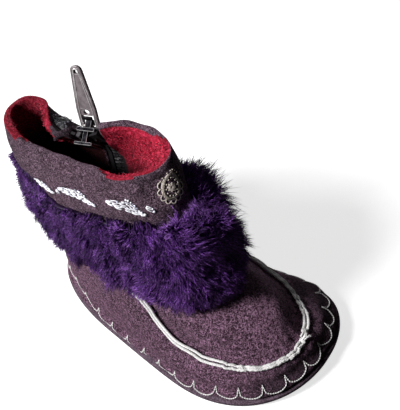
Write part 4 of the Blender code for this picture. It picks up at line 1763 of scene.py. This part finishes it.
studioLook = {
    "keyFrom": (0.62, -0.36, 0.70),  # direction of the soft key light
    "keyFar": 1.05,
    "keySize": 0.36,
    "keyPower": 18.4,
    "fillFrom": (-0.70, -0.78, 0.22),
    "fillSize": 0.8,
    "fillPower": 3.8,
    "sky": 0.035,
    # radius and height of the floor's rings
    "sweep": (
        (2.2, 0),
        (2.5, 0.04),
        (2.8, 0.16),
        (3.05, 0.36),
        (3.22, 0.65),
        (3.3, 1.1),
        (3.32, 2.2),
    ),
    "sweepSteps": 64,
}


def makeLight(name, place, target, size, power):
    data = bpy.data.lights.new(name, "AREA")
    data.shape = "DISK"
    data.size = size
    data.energy = power
    light = bpy.data.objects.new(name, data)
    bpy.context.scene.collection.objects.link(light)
    light.location = place
    light.rotation_euler = (Vector(target) - Vector(place)).to_track_quat("-Z", "Y").to_euler()


def makeFloor():
    # a flat sheet whose far edge sweeps up all round, like a paper backdrop
    work = bmesh.new()
    rings = []
    steps = studioLook["sweepSteps"]
    for radius, height in studioLook["sweep"]:
        ring = []
        for step in range(steps):
            turn = 2 * math.pi * step / steps
            place = (radius * math.cos(turn), radius * math.sin(turn), height)
            ring.append(work.verts.new(place))
        rings.append(ring)
    for lower, upperRing in zip(rings, rings[1:]):
        for step in range(steps):
            after = (step + 1) % steps
            work.faces.new((lower[step], upperRing[step], upperRing[after], lower[after]))
    work.faces.new(rings[0])
    bmesh.ops.recalc_face_normals(work, faces=work.faces)
    if work.faces[-1].normal.z < 0:
        bmesh.ops.reverse_faces(work, faces=work.faces)
    for face in work.faces:
        face.smooth = len(face.verts) == 4
    floor = bpy.data.objects.new("floor", meshOf(work, "floor"))
    bpy.context.scene.collection.objects.link(floor)
    paper, tree, shader = newMaterial("paleFloor", 0.95)
    shader.inputs["Specular IOR Level"].default_value = 0.0
    shader.inputs["Emission Strength"].default_value = 1.0
    # pale to the eye, and throws little light back
    seen = put(tree, "LightPath").outputs["Is Camera Ray"]
    for label, thrown, shown in (("Base Color", 0.08, 0.55), ("Emission Color", 0.0, 0.72)):
        tree.links.new(blend(tree, seen, (thrown,) * 3, (shown,) * 3), shader.inputs[label])
    floor.data.materials.append(paper)


def makeSky():
    world = bpy.data.worlds.new("studio")
    world.use_nodes = True
    backdrop = world.node_tree.nodes["Background"]
    backdrop.inputs["Color"].default_value = (1, 1, 1, 1)
    backdrop.inputs["Strength"].default_value = studioLook["sky"]
    bpy.context.scene.world = world


makeCamera()
keyPlace = Vector(studioLook["keyFrom"]).normalized() * studioLook["keyFar"]
makeLight("keyLight", keyPlace, (0, 0, 0.03), studioLook["keySize"], studioLook["keyPower"])
fillPlace = studioLook["fillFrom"]
makeLight("backFill", fillPlace, (0, 0, 0.05), studioLook["fillSize"], studioLook["fillPower"])
makeFloor()
makeSky()
bpy.context.scene.view_settings.view_transform = "Standard"
print("camera, lights and floor done")
